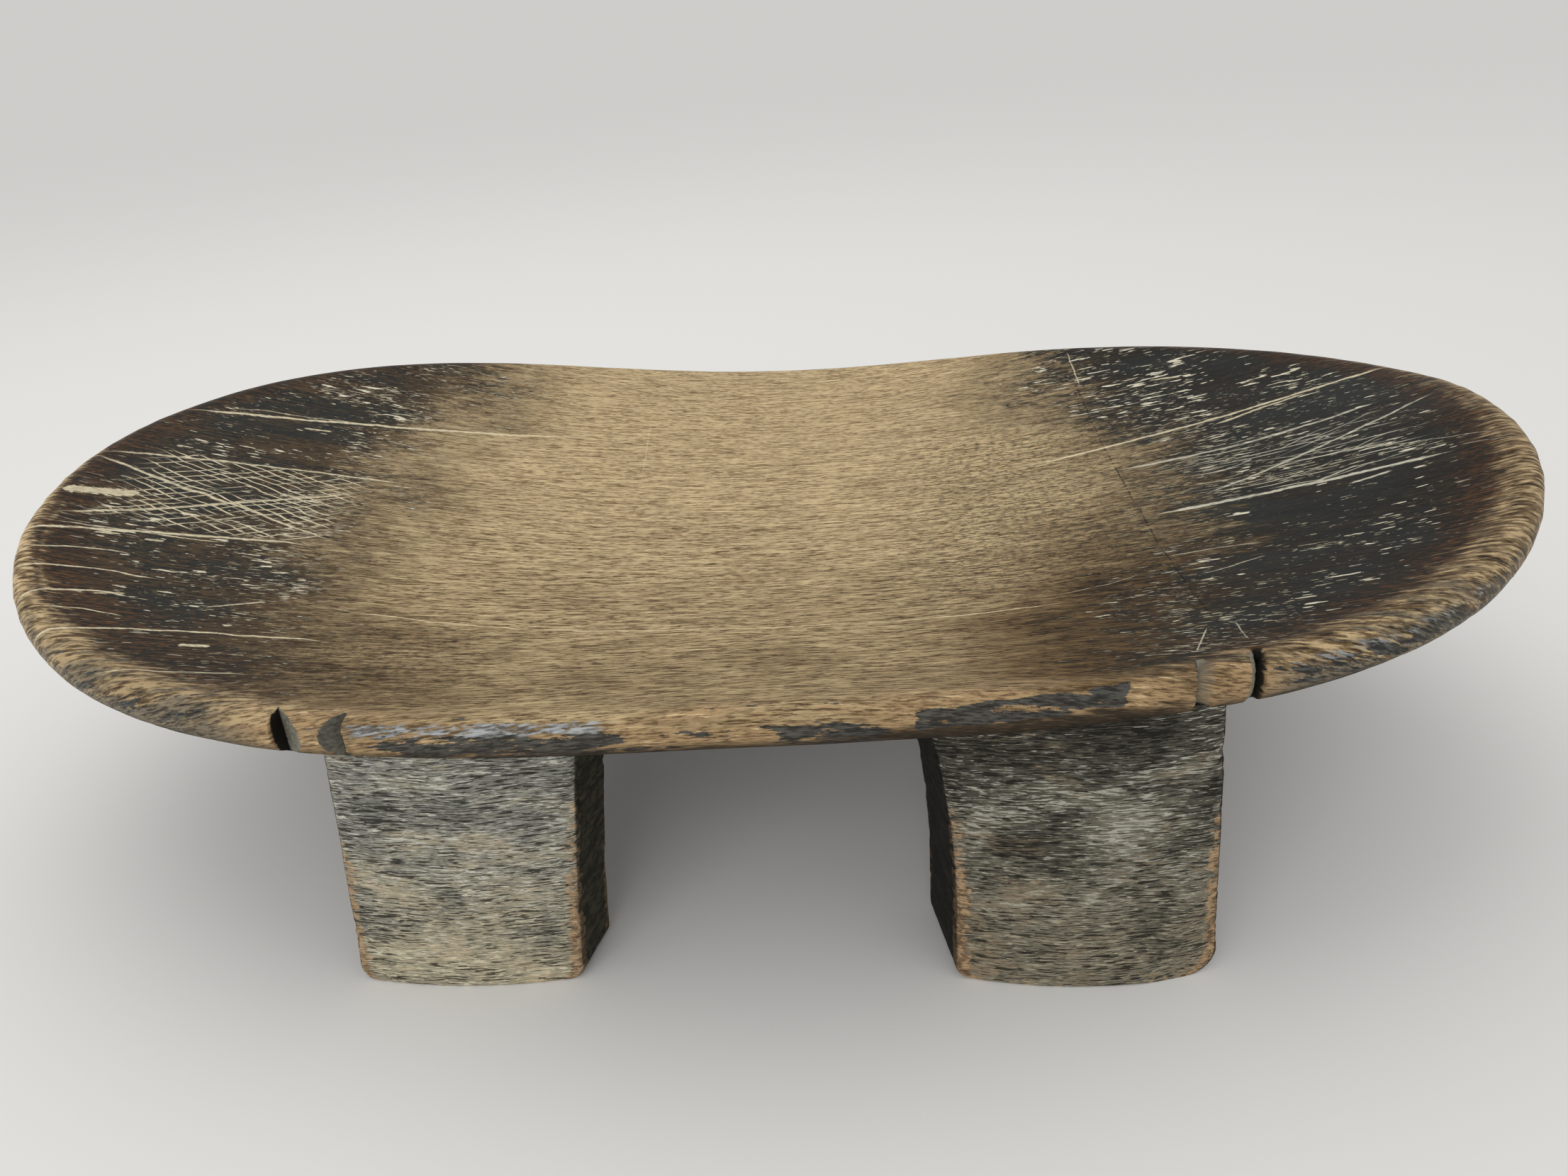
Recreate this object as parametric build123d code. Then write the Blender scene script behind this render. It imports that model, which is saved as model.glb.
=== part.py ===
from build123d import *

import os
from math import atan2, cos, pi, sin

# A low carved stool: a long oval dished seat on four block legs.
# The real stool is cut from one log. Its solids part where the carver's work parts:
# the seat board, and each leg where it grows out of the seat's underside.
# Millimetres, +X along the seat, -Y towards the sitter's front, +Z up, origin on the ground.

# Seat: the outline is a squared ellipse, fuller in front than behind
seat_length = 616.0
seat_width = 366.0
front_fullness = 2.3
rear_fullness = 2.2

# Seat: heights above the ground
rim_edge_height = 153.5
middle_height = 104.0
middle_thickness = 26.0
side_edge_thickness = 16.0
end_edge_thickness = 22.0
edge_rounding = 6.5

# Height of the rim's edge round the seat, as shares of its greatest height,
# from the right end by way of the rear, at equal turns
rim_height_shares = (0.99, 0.95, 0.885, 0.805, 0.93, 1.0, 0.96, 0.845, 0.78, 0.83, 0.83, 0.895)

# Legs: blocks that splay towards the ends of the seat, the splay over the rim's height,
# and set back from the seat's widest line
left_foot_offset = 98.0
right_foot_offset = 121.0
left_leg_width = 83.5
right_leg_width = 88.5
left_leg_depth = 27.0
right_leg_depth = 38.0
left_inner_skew = 6.0
right_inner_skew = 8.0
leg_setback = 17.0
leg_splay = 12.5
foot_corner_rounding = 8.0
leg_edge_rounding = 2.5
rim_overhang = 2.0

# Cuts in the front rim, in two pairs: offset from the middle, width at the rim and depth
left_cut_offset = 130.5
left_cut_spacing = 19.0
left_cut_width = 9.0
right_cut_offset = 159.5
right_cut_spacing = 18.0
right_cut_width = 5.5
cut_depth = 7.0

# How far a cutting tool runs past what it cuts, and how near an edge lies to its face
overrun = 20.0
flatness = 0.01

# How finely the two dished faces and the outline are laid out
rows_across = 15
rows_along = 25
outline_points = 40

half_length = seat_length / 2
half_width = seat_width / 2


def fullness(y):
    """Exponent of the squared ellipse on this side of the seat's long axis."""
    return front_fullness if y < 0 else rear_fullness


def outline_point(turn, inset=0.0):
    """Point of the seat's outline at a turn from +X, drawn in by an inset."""
    power = 2 / fullness(sin(turn))
    x = (half_length - inset) * abs(cos(turn)) ** power
    y = (half_width - inset) * abs(sin(turn)) ** power
    return (x if cos(turn) > 0 else -x, y if sin(turn) > 0 else -y)


def outline_prism(inset=0.0):
    """Upright block over the seat's outline, from the ground to above the rim."""
    turns = [2 * pi * i / outline_points for i in range(outline_points)]
    outline = Spline([outline_point(turn, inset) for turn in turns], periodic=True)
    return extrude(make_face(outline), amount=rim_edge_height + overrun)


def waves(heights):
    """Cosine and sine parts of heights at equal turns, so that their sum meets each one."""
    count = len(heights)
    parts = []
    for k in range(count // 2 + 1):
        weight = 1 if k in (0, count / 2) else 2
        c = sum(h * cos(2 * pi * k * i / count) for i, h in enumerate(heights)) / count
        s = sum(h * sin(2 * pi * k * i / count) for i, h in enumerate(heights)) / count
        parts.append((weight * c, weight * s))
    return parts


def reach(x, y):
    """Share of the way from the seat's middle to its outline, 1 on the outline."""
    n = fullness(y)
    return (abs(x / half_length) ** n + abs(y / half_width) ** n) ** (1 / n)


def dished_height(parts, middle, x, y):
    """Height of a dished face: each wave of the rim fades towards the middle by its own power."""
    r = reach(x, y)
    turn = atan2(y / half_width, x / half_length)

    def fade(power):
        return r**power if r < 1 else 1 + power * (r - 1)

    z = middle + (parts[0][0] - middle) * fade(2)
    for k in range(1, len(parts)):
        c, s = parts[k]
        z += fade(k) * (c * cos(k * turn) + s * sin(k * turn))
    return z


def dished_face(rim_heights, middle):
    """Smooth face over a rectangle a little larger than the seat."""
    parts = waves(rim_heights)
    rows = []
    for i in range(rows_along):
        x = (half_length + overrun) * (2 * i / (rows_along - 1) - 1)
        row = []
        for j in range(rows_across):
            y = (half_width + overrun) * (2 * j / (rows_across - 1) - 1)
            row.append((x, y, dished_height(parts, middle, x, y)))
        rows.append(row)
    return Face.make_surface_from_array_of_points(rows)


def rim_edges(block):
    """The two long edges round the seat, without the upright seams."""
    return block.edges().filter_by(lambda edge: edge.length > end_edge_thickness + overrun)


def make_seat():
    """The dished board: the outline's block, hollowed above, cut away below, edges rounded."""
    turns = [2 * pi * i / len(rim_height_shares) for i in range(len(rim_height_shares))]
    rim_top = [share * rim_edge_height for share in rim_height_shares]
    edge_growth = end_edge_thickness - side_edge_thickness
    rim_low = [z - side_edge_thickness - edge_growth * cos(t) ** 2 for z, t in zip(rim_top, turns)]
    above = extrude(dished_face(rim_top, middle_height), amount=rim_edge_height, dir=(0, 0, 1))
    under_middle = middle_height - middle_thickness
    below = extrude(dished_face(rim_low, under_middle), amount=rim_edge_height, dir=(0, 0, -1))
    board = outline_prism() - above - below
    return fillet(rim_edges(board), edge_rounding)


def rim_cutter(x, width):
    """Upright wedge whose edge stands the cut's depth inside the front rim."""
    rim_y = -half_width * (1 - abs(x / half_length) ** front_fullness) ** (1 / front_fullness)
    mouth = width / 2 * (cut_depth + overrun) / cut_depth
    wedge = Polyline(
        (x - mouth, rim_y - overrun),
        (x + mouth, rim_y - overrun),
        (x, rim_y + cut_depth),
        close=True,
    )
    return extrude(make_face(wedge), amount=rim_edge_height + overrun)


def cut_rim(seat):
    """Four narrow wedge cuts across the front rim, in two pairs."""
    cutters = []
    for step in (-1, 1):
        left_x = -left_cut_offset + step * left_cut_spacing / 2
        right_x = right_cut_offset + step * right_cut_spacing / 2
        cutters += [rim_cutter(left_x, left_cut_width), rim_cutter(right_x, right_cut_width)]
    return seat - cutters


def runs_in_depth(edge):
    """Whether an edge runs more from front to rear than along the seat."""
    run = edge.position_at(1) - edge.position_at(0)
    return abs(run.Y) > abs(run.X)


def worn_edges(block, outside_y, inside_y):
    """Edges round a leg's outside and inside faces, without those at its top."""
    low = block.edges().filter_by(lambda edge: edge.center().Z < rim_edge_height - overrun)

    def lies_on(edge, y):
        return all(abs(edge.position_at(u).Y - y) < flatness for u in (0, 0.5, 1))

    return low.filter_by(lambda edge: lies_on(edge, outside_y) or lies_on(edge, inside_y))


def make_leg(end, side, foot_offset, width, depth, inner_skew, seat):
    """One leg, where end is -1 left or 1 right and side is -1 front or 1 rear."""
    outer_x = end * (foot_offset + width / 2)
    inner_x = end * (foot_offset - width / 2)
    outside_y = side * (half_width - leg_setback)
    inside_y = side * (half_width - leg_setback - depth)
    foot = Polyline(
        (outer_x, outside_y),
        (inner_x, outside_y),
        (inner_x - end * inner_skew, inside_y),
        (outer_x, inside_y),
        close=True,
    )
    rise = Vector(-end * leg_splay, 0, rim_edge_height)
    block = extrude(make_face(foot), amount=rise.length, dir=rise)
    ground_edges = block.faces().sort_by(Axis.Z)[0].edges()
    block = fillet(ground_edges.filter_by(runs_in_depth), foot_corner_rounding)
    block = fillet(worn_edges(block, outside_y, inside_y), leg_edge_rounding)
    under_seat = (block & outline_prism(rim_overhang)) - seat
    return under_seat.solids().sort_by(Axis.Z)[0]


def main():
    """Write each solid to its own file."""
    seat = make_seat()
    parts = {"seat": cut_rim(seat)}
    for side, side_name in ((-1, "front"), (1, "rear")):
        left_sizes = (left_foot_offset, left_leg_width, left_leg_depth, left_inner_skew)
        right_sizes = (right_foot_offset, right_leg_width, right_leg_depth, right_inner_skew)
        parts[f"leg_{side_name}_left"] = make_leg(-1, side, *left_sizes, seat)
        parts[f"leg_{side_name}_right"] = make_leg(1, side, *right_sizes, seat)
    os.makedirs("parts", exist_ok=True)
    for name, solid in parts.items():
        solid.label = name
        export_step(solid, f"parts/{name}.step")


main()
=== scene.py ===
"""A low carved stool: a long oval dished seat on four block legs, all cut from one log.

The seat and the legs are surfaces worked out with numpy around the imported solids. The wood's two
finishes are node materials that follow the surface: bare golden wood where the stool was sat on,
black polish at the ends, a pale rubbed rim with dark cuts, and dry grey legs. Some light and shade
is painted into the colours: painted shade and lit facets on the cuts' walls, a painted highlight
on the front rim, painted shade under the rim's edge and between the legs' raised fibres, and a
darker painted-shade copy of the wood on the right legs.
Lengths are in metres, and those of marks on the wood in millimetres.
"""

import logging
from collections.abc import Callable
from dataclasses import dataclass
from enum import Enum
from math import cos, radians, sin
from typing import Union

import bpy
import numpy as np
from mathutils import Matrix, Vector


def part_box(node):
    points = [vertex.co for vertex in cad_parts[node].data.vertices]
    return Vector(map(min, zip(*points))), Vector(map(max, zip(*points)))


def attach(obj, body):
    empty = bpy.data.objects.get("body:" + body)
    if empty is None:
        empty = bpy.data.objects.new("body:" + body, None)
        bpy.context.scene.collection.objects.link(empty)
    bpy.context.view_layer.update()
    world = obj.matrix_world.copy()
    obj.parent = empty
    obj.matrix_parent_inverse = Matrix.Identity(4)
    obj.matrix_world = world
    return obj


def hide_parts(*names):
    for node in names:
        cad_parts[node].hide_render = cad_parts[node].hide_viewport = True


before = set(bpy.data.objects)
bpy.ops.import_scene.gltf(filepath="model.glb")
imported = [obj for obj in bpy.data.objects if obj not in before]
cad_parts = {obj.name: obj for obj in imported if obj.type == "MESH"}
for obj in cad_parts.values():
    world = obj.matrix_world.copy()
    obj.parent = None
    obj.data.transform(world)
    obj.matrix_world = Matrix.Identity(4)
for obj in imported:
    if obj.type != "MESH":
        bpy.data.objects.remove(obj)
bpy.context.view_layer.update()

log = logging.getLogger("stool")

MM = 0.001
BODY = "root"

HASH_PRIMES = (73856093, 19349663, 83492791)
HASH_SEED_STEP = 2654435761
HASH_FACTOR = 1274126177
HASH_BITS = 0xFFFFFFFF
NUMBER_BITS = 0xFFFF

Array = np.ndarray
Place = tuple[float, float, float]
Colour = tuple[float, float, float]
Span = tuple[float, float, float]
Line = tuple[tuple[float, float], ...]
Value = Union["Sock", float]


class End(Enum):
    """Which end of the seat a leg stands under."""

    LEFT = -1
    RIGHT = 1


class Side(Enum):
    """Which long side of the seat a leg stands under."""

    FRONT = -1
    REAR = 1


def smooth_step(value: Array, low: float, high: float) -> Array:
    """Ease from 0 at low to 1 at high: 3 t squared less 2 t cubed, t the clipped share."""
    t = np.clip((value - low) / (high - low), 0.0, 1.0)
    return t * t * (3.0 - 2.0 * t)


def window(value: Array, low: float, high: float, soft: float) -> Array:
    """1 between low and high, easing to 0 within soft on either side."""
    return smooth_step(value, low - soft, low + soft) * (1.0 - smooth_step(value, high - soft, high + soft))


@dataclass(frozen=True)
class Ease:
    """Where a value takes effect: nothing at low, easing to the full strength at high."""

    low: float
    high: float
    strength: float = 1.0

    def of(self, value: Array) -> Array:
        """The effect at each number of an array."""
        return smooth_step(value, self.low, self.high) * self.strength


@dataclass(frozen=True)
class Zone:
    """A soft-edged box in millimetres: low, high and softness along two axes.

    A tilted zone's second axis drops by the tilt for each millimetre past the pivot.
    """

    x: Span
    y: Span
    strength: float = 1.0
    tilt: float = 0.0
    pivot: float = 0.0

    def of(self, x: Array, y: Array) -> Array:
        """1 inside and 0 outside, at each place of two arrays."""
        return window(x, *self.x) * window(y, *self.y)

    def mask(self, graph: "Graph", x: "Sock", y: "Sock") -> "Sock":
        """The zone's strength inside and 0 outside, as nodes.

        Args:
            graph: The node tree.
            x: First coordinate.
            y: Second coordinate.

        Returns:
            The mask.
        """
        if self.tilt:
            y = y - (x - self.pivot) * self.tilt
        inside = graph.window(x, *self.x) * graph.window(y, *self.y)
        return inside if self.strength == 1.0 else inside * self.strength


@dataclass(frozen=True)
class Wander:
    """Smooth random numbers over space, from -1 to 1: a lattice cell in metres and a seed.

    Each further layer has half the cell and half the weight of the one before.
    """

    cell: Place
    seed: int
    layers: int = 1

    @staticmethod
    def _layer(places: Array, cell: Array, seed: int) -> Array:
        """One layer: a place takes the hashed numbers of the eight corners of its cell.

        Each corner's number is weighted by the eased distance along each axis.

        Args:
            places: Points, one row each.
            cell: Size of a lattice cell along each axis.
            seed: Chooses another set of numbers.

        Returns:
            One number for each point.
        """
        scaled = places / cell
        corner = np.floor(scaled).astype(np.int64)
        t = smooth_step(scaled - corner, 0.0, 1.0)
        total = np.zeros(len(places))
        for step in np.ndindex(2, 2, 2):
            offset = np.array(step)
            key = (corner + offset) @ np.array(HASH_PRIMES) + seed * HASH_SEED_STEP
            key = ((key ^ (key >> 13)) * HASH_FACTOR) & HASH_BITS
            key = key ^ (key >> 16)
            number = (key & NUMBER_BITS) / (NUMBER_BITS / 2.0) - 1.0
            total += np.prod(np.where(offset == 1, t, 1.0 - t), axis=1) * number
        return total

    def at(self, places: Array) -> Array:
        """The layers' sum by their weights, shared by the sum of the weights.

        Args:
            places: Points, one row each.

        Returns:
            One number for each point.
        """
        total = np.zeros(len(places))
        weight = 0.0
        for layer in range(self.layers):
            share = 0.5**layer
            total += share * self._layer(places, np.array(self.cell) * share, self.seed + layer)
            weight += share
        return total / weight


def grid_faces(index: Array, turned: bool = False) -> Array:
    """Quads between neighbouring rows and columns of a grid of vertex numbers.

    Args:
        index: Vertex numbers, rows by columns.
        turned: Whether the faces look the other way.

    Returns:
        Four vertex numbers a row.
    """
    a, b = index[:-1, :-1], index[:-1, 1:]
    c, d = index[1:, 1:], index[1:, :-1]
    corners = (a, d, c, b) if turned else (a, b, c, d)
    return np.stack([corner.ravel() for corner in corners], axis=1)


def make_mesh(name: str, points: Array, quads: Array, triangles: Array, sharp: float) -> bpy.types.Object:
    """Put whole arrays of points and faces into a new mesh object at the origin.

    Args:
        name: Name of the object.
        points: Vertex places in metres.
        quads: Four vertex numbers a row.
        triangles: Three vertex numbers a row, may be empty.
        sharp: Angle in degrees past which an edge is shaded sharp.

    Returns:
        The linked object, shaded smooth.
    """
    mesh = bpy.data.meshes.new(name)
    mesh.vertices.add(len(points))
    mesh.vertices.foreach_set("co", points.astype(np.float32).ravel())
    loops = np.concatenate([quads.ravel(), triangles.ravel()]).astype(np.int32)
    mesh.loops.add(len(loops))
    mesh.loops.foreach_set("vertex_index", loops)
    sizes = np.concatenate([np.full(len(quads), 4), np.full(len(triangles), 3)])
    starts = np.concatenate([[0], np.cumsum(sizes)[:-1]]).astype(np.int32)
    mesh.polygons.add(len(sizes))
    mesh.polygons.foreach_set("loop_start", starts)
    mesh.update(calc_edges=True)
    mesh.validate()
    mesh.shade_smooth()
    mesh.set_sharp_from_angle(angle=radians(sharp))
    piece = bpy.data.objects.new(name, mesh)
    bpy.context.scene.collection.objects.link(piece)
    return piece


def store(piece: bpy.types.Object, kept: dict[str, Array]) -> None:
    """Keep numbers or vectors for each vertex, as attributes that materials read.

    Args:
        piece: The mesh object.
        kept: One row for each vertex, by the attribute's name.
    """
    for name, values in kept.items():
        flat = values.ndim == 1
        made = piece.data.attributes.new(name, "FLOAT" if flat else "FLOAT_VECTOR", "POINT")
        made.data.foreach_set("value" if flat else "vector", values.astype(np.float32).ravel())


@dataclass(frozen=True)
class RimCut:
    """A cut across the front rim: places along the seat, with the depth and the tone at each. The tone is
    painted shade and light on the cut's walls: 0 a painted black shade, higher a painted pale lit facet.

    An upright cut is as deep as a saw held upright would leave it. One that follows keeps its
    depth all round the rim's rounding, as a rocked knife does.
    """

    places: tuple[float, ...]
    depths: tuple[float, ...]
    shade_tones: tuple[float, ...]
    follows: bool = False

    def depth(self, x: Array) -> Array:
        """Depth of the cut at places along the seat, straight between the named ones."""
        return np.interp(x, self.places, self.depths)

    def tone(self, x: Array) -> Array:
        """How pale the painted shade and light on the cut's walls is, straight between the named ones."""
        return np.interp(x, self.places, self.shade_tones)


@dataclass
class SeatForm:
    """The dished board's two faces and its outline, which the seat and the legs both follow."""

    half_length: float
    half_width: float
    front_fullness: float = 2.3
    rear_fullness: float = 2.2
    rim_edge_height: float = 0.1535
    middle_height: float = 0.104
    middle_thickness: float = 0.026
    side_edge_thickness: float = 0.016
    end_edge_thickness: float = 0.022
    side_roll: float = 0.0085
    end_roll: float = 0.013
    roll_fullness: float = 2.25
    rim_height_shares: tuple[float, ...] = (
        0.99, 0.95, 0.885, 0.805, 0.93, 1.0, 0.96, 0.845, 0.78, 0.83, 0.83, 0.895,
    )

    def __post_init__(self) -> None:
        """Work out the waves of the rim's upper and lower edge."""
        top = np.array(self.rim_height_shares) * self.rim_edge_height
        turns = np.arange(len(top)) * 2.0 * np.pi / len(top)
        growth = self.end_edge_thickness - self.side_edge_thickness
        low = top - self.side_edge_thickness - growth * np.cos(turns) ** 2
        self.top_waves = self._waves(top, turns)
        self.low_waves = self._waves(low, turns)

    @staticmethod
    def _waves(heights: Array, turns: Array) -> list[tuple[float, float]]:
        """Cosine and sine parts of heights at equal turns, so that their sum meets each one.

        Args:
            heights: Heights at equal turns.
            turns: The turns.

        Returns:
            A cosine and a sine part for each wave.
        """
        count = len(heights)
        parts = []
        for k in range(count // 2 + 1):
            weight = 1.0 if k in (0, count / 2) else 2.0
            cosine = weight * float(np.mean(heights * np.cos(k * turns)))
            sine = weight * float(np.mean(heights * np.sin(k * turns)))
            parts.append((cosine, sine))
        return parts

    def _fullness(self, y: Array) -> Array:
        """Exponent of the squared ellipse on each side of the seat's long axis."""
        return np.where(y < 0, self.front_fullness, self.rear_fullness)

    def turn(self, x: Array, y: Array) -> Array:
        """Turn from +X of a plan place, with the outline drawn as a circle."""
        return np.arctan2(y / self.half_width, x / self.half_length)

    def outline(self, turn: Array) -> tuple[Array, Array]:
        """Points of the outline and its outward directions.

        The outline is a squared ellipse: the shares of the half length and half width, each to
        the side's fullness, add up to 1. The direction is the slope of that sum.

        Args:
            turn: Turns from +X.

        Returns:
            Plan points and unit directions, one row each.
        """
        c, s = np.cos(turn), np.sin(turn)
        n = self._fullness(s)
        size = (np.abs(c) ** n + np.abs(s) ** n) ** (-1.0 / n)
        u, v = size * c, size * s
        points = np.stack([self.half_length * u, self.half_width * v], axis=-1)
        slope_x = np.sign(u) * np.abs(u) ** (n - 1.0) / self.half_length
        slope_y = np.sign(v) * np.abs(v) ** (n - 1.0) / self.half_width
        slope = np.stack([slope_x, slope_y], axis=-1)
        return points, slope / np.linalg.norm(slope, axis=-1, keepdims=True)

    def reach(self, x: Array, y: Array) -> Array:
        """Share of the way from the seat's middle to its outline, 1 on the outline."""
        n = self._fullness(y)
        return (np.abs(x / self.half_length) ** n + np.abs(y / self.half_width) ** n) ** (1.0 / n)

    def inside(self, x: Array, y: Array) -> Array:
        """Distance inside the outline: what is left of the reach, times the outline's support."""
        points, normals = self.outline(self.turn(x, y))
        return (1.0 - self.reach(x, y)) * np.sum(points * normals, axis=-1)

    def _dished(self, waves: list[tuple[float, float]], middle: float, x: Array, y: Array) -> Array:
        """Height of a dished face: each wave of the rim fades to the middle by its own power.

        Args:
            waves: Cosine and sine parts of the rim's heights.
            middle: Height at the seat's middle.
            x: Places along the seat.
            y: Places across it.

        Returns:
            Heights.
        """
        reach = self.reach(x, y)
        turn = self.turn(x, y)
        inner = np.minimum(reach, 1.0)
        beyond = np.maximum(reach - 1.0, 0.0)
        z = middle + (waves[0][0] - middle) * (inner**2 + 2.0 * beyond)
        for k in range(1, len(waves)):
            wave = waves[k][0] * np.cos(k * turn) + waves[k][1] * np.sin(k * turn)
            z = z + (inner**k + k * beyond) * wave
        return z

    def roll_width(self, turn: Array) -> Array:
        """How far in from the outline the rim's rounding starts, widest at the seat's ends."""
        return self.side_roll + (self.end_roll - self.side_roll) * np.cos(turn) ** 2

    def faces(self, x: Array, y: Array) -> tuple[Array, Array]:
        """Heights of the board at plan places.

        Args:
            x: Places along the seat.
            y: Places across it.

        Returns:
            Middle height and half the thickness.
        """
        top = self._dished(self.top_waves, self.middle_height, x, y)
        low = self._dished(self.low_waves, self.middle_height - self.middle_thickness, x, y)
        return (top + low) / 2.0, (top - low) / 2.0

    def underside(self, x: Array, y: Array) -> Array:
        """Height of the board's underside, with the rim's rounding.

        The rounding is a squared quarter ellipse: 1 less the share of the roll still to go, to
        the roll's fullness, and its root.

        Args:
            x: Places along the seat.
            y: Places across it.

        Returns:
            Heights.
        """
        middle, half = self.faces(x, y)
        left = 1.0 - np.clip(self.inside(x, y) / self.roll_width(self.turn(x, y)), 0.0, 1.0)
        return middle - half * (1.0 - left**self.roll_fullness) ** (1.0 / self.roll_fullness)


@dataclass(frozen=True)
class WearMap:
    """Where the seat is worn, sooty, chipped or rubbed, in millimetres on its unrolled surface.

    The borders of the polish and the rim's width are lines between named places.
    """

    left_border: Line = (
        (-142.0, 150.0), (-116.0, 160.0), (-84.0, 168.0), (-44.0, 174.0),
        (-2.0, 176.0), (43.0, 174.0), (95.0, 157.0), (144.0, 149.0),
    )
    right_border: Line = (
        (-144.0, 154.0), (-101.0, 157.0), (-59.0, 161.0), (-24.0, 166.0),
        (35.0, 165.0), (96.0, 146.0), (149.0, 132.0),
    )
    rim_width: Line = (
        (0.0, 17.0), (30.0, 12.0), (60.0, 6.0), (90.0, 4.0), (120.0, 4.5),
        (150.0, 8.0), (180.0, 12.0), (205.0, 16.0), (235.0, 19.0), (255.0, 16.0),
        (270.0, 14.0), (290.0, 14.0), (310.0, 17.0), (335.0, 20.0), (360.0, 17.0),
    )
    under_shift: float = 200.0
    front: Ease = Ease(0.35, 0.8)
    rear: Ease = Ease(0.25, 0.7)
    smut_front: Zone = Zone((95.0, 175.0, 30.0), (-158.0, -100.0, 16.0))
    smut_right: Zone = Zone((92.0, 150.0, 16.0), (92.0, 150.0, 16.0))
    smut_left: Zone = Zone((-160.0, -118.0, 14.0), (100.0, 150.0, 14.0))
    knotty: Zone = Zone((66.0, 178.0, 30.0), (-90.0, 90.0, 30.0))
    specked: Zone = Zone((-190.0, -90.0, 24.0), (-158.0, -96.0, 22.0))
    clean_right: Zone = Zone((176.0, 320.0, 20.0), (-170.0, -24.0, 16.0))
    clean_left: Zone = Zone((-320.0, -214.0, 20.0), (-160.0, 60.0, 16.0))
    chipped: Zone = Zone((120.0, 262.0, 22.0), (72.0, 152.0, 9.0))
    frontward: Ease = Ease(-110.0, 165.0, 0.6)
    forward: Ease = Ease(-120.0, 120.0)
    right_corner: tuple[Ease, Ease] = (Ease(40.0, 170.0), Ease(5.0, 135.0))
    left_corner: tuple[Ease, Ease] = (Ease(60.0, 190.0), Ease(20.0, 140.0))
    endward: Ease = Ease(-100.0, 10.0)
    inward: Ease = Ease(0.0, 90.0)
    leftward: Ease = Ease(-60.0, 60.0)
    rightward: Ease = Ease(-40.0, 200.0)
    bare_rim: Span = (-158.0, 178.0, 14.0)
    middle_rim: Span = (-140.0, 172.0, 22.0)
    dull_rim: Span = (-300.0, -150.0, 20.0)
    greyer: tuple[Ease, Ease] = (Ease(100.0, 200.0), Ease(34.0, 42.0))

    @staticmethod
    def _along(line: Line, value: Array) -> Array:
        """Straight between the named places of a line."""
        return np.interp(value, *zip(*line))

    def store(
        self, piece: bpy.types.Object, turn: Array, points: Array, flat: Array, lip: Array, under: Array
    ) -> None:
        """Keep what the finish reads: the unrolled place, the distances and the zones.

        Args:
            piece: The seat.
            turn: Turn of each point.
            points: Points before their wear, in metres.
            flat: Unrolled places, in metres.
            lip: Distance over the surface from the rim's outermost line, in metres.
            under: 0 on top, 1 underneath.
        """
        x, y = points[:, 0] / MM, points[:, 1] / MM
        past_left = -x - self._along(self.left_border, y)
        ends = np.maximum(past_left, x - self._along(self.right_border, y))
        front = self.front.of(-np.sin(turn))
        kept = {
            "flat": np.column_stack([flat / MM, self.under_shift * smooth_step(under, 0.8, 1.0)]),
            "ends": ends,
            "lip": lip / MM,
            "lip_share": lip / MM / self._along(self.rim_width, np.degrees(turn) % 360.0),
            "under": under,
            "front": front,
            "rear": self.rear.of(np.sin(turn)),
        }
        store(piece, kept | self._zones(flat[:, 0] / MM, flat[:, 1] / MM, ends, front))

    def _zones(self, x: Array, y: Array, ends: Array, front: Array) -> dict[str, Array]:
        """The wide soft zones of the wear.

        Args:
            x: First coordinate on the unrolled surface, in millimetres.
            y: Second coordinate.
            ends: Distance past the sat-on zone.
            front: Nearness to the front rim.

        Returns:
            One number for each vertex, by the attribute's name.
        """
        rear_smut = self.smut_right.of(x, y) + self.smut_left.of(x, y)
        right_corner = self.right_corner[0].of(x) * self.right_corner[1].of(-y)
        left_corner = self.left_corner[0].of(-x) * self.left_corner[1].of(-y) * 0.1
        endward = self.endward.of(ends) * (1.0 - 0.4 * self.leftward.of(-x))
        clean_right, chipped = self.clean_right.of(x, y), self.chipped.of(x, y)
        clean = 0.045 * clean_right + 0.035 * self.clean_left.of(x, y) + 0.035 * chipped
        rightward = self.rightward.of(x)
        return {
            "smutted": self.smut_front.of(x, y) * 0.5 + rear_smut * 0.4,
            "browned": self.frontward.of(-y) + right_corner * 0.75 + left_corner + endward * 0.3,
            "sooty": endward * 0.54 + right_corner * 0.45 + left_corner,
            "forward": self.forward.of(-y),
            "figured": np.maximum(self.knotty.of(x, y), self.specked.of(x, y) * 0.9),
            "leftward": self.leftward.of(-x),
            "rightward": rightward,
            "greyed": 1.0 - window(x, *self.bare_rim),
            "mid_front": window(x, *self.middle_rim) * front,
            "grey_lines": self.greyer[0].of(x) * (1.0 - self.greyer[1].of(y)),
            "dusty": 0.06 * (1.0 - self.inward.of(ends)) - 0.01 - clean,
            "flaked": 0.045 * chipped - 0.02 * clean_right,
            "dulled": np.maximum(0.42 * rightward, 0.7 * (window(x, *self.dull_rim) * front)),
        }


@dataclass(frozen=True)
class Ring:
    """One ring of the rim: its points before and after cutting, its run, where the cuts are, and the painted
    shade tone of their walls.
    """

    plain: Array
    points: Array
    run: Array
    dug: Array
    tone: Array


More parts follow.
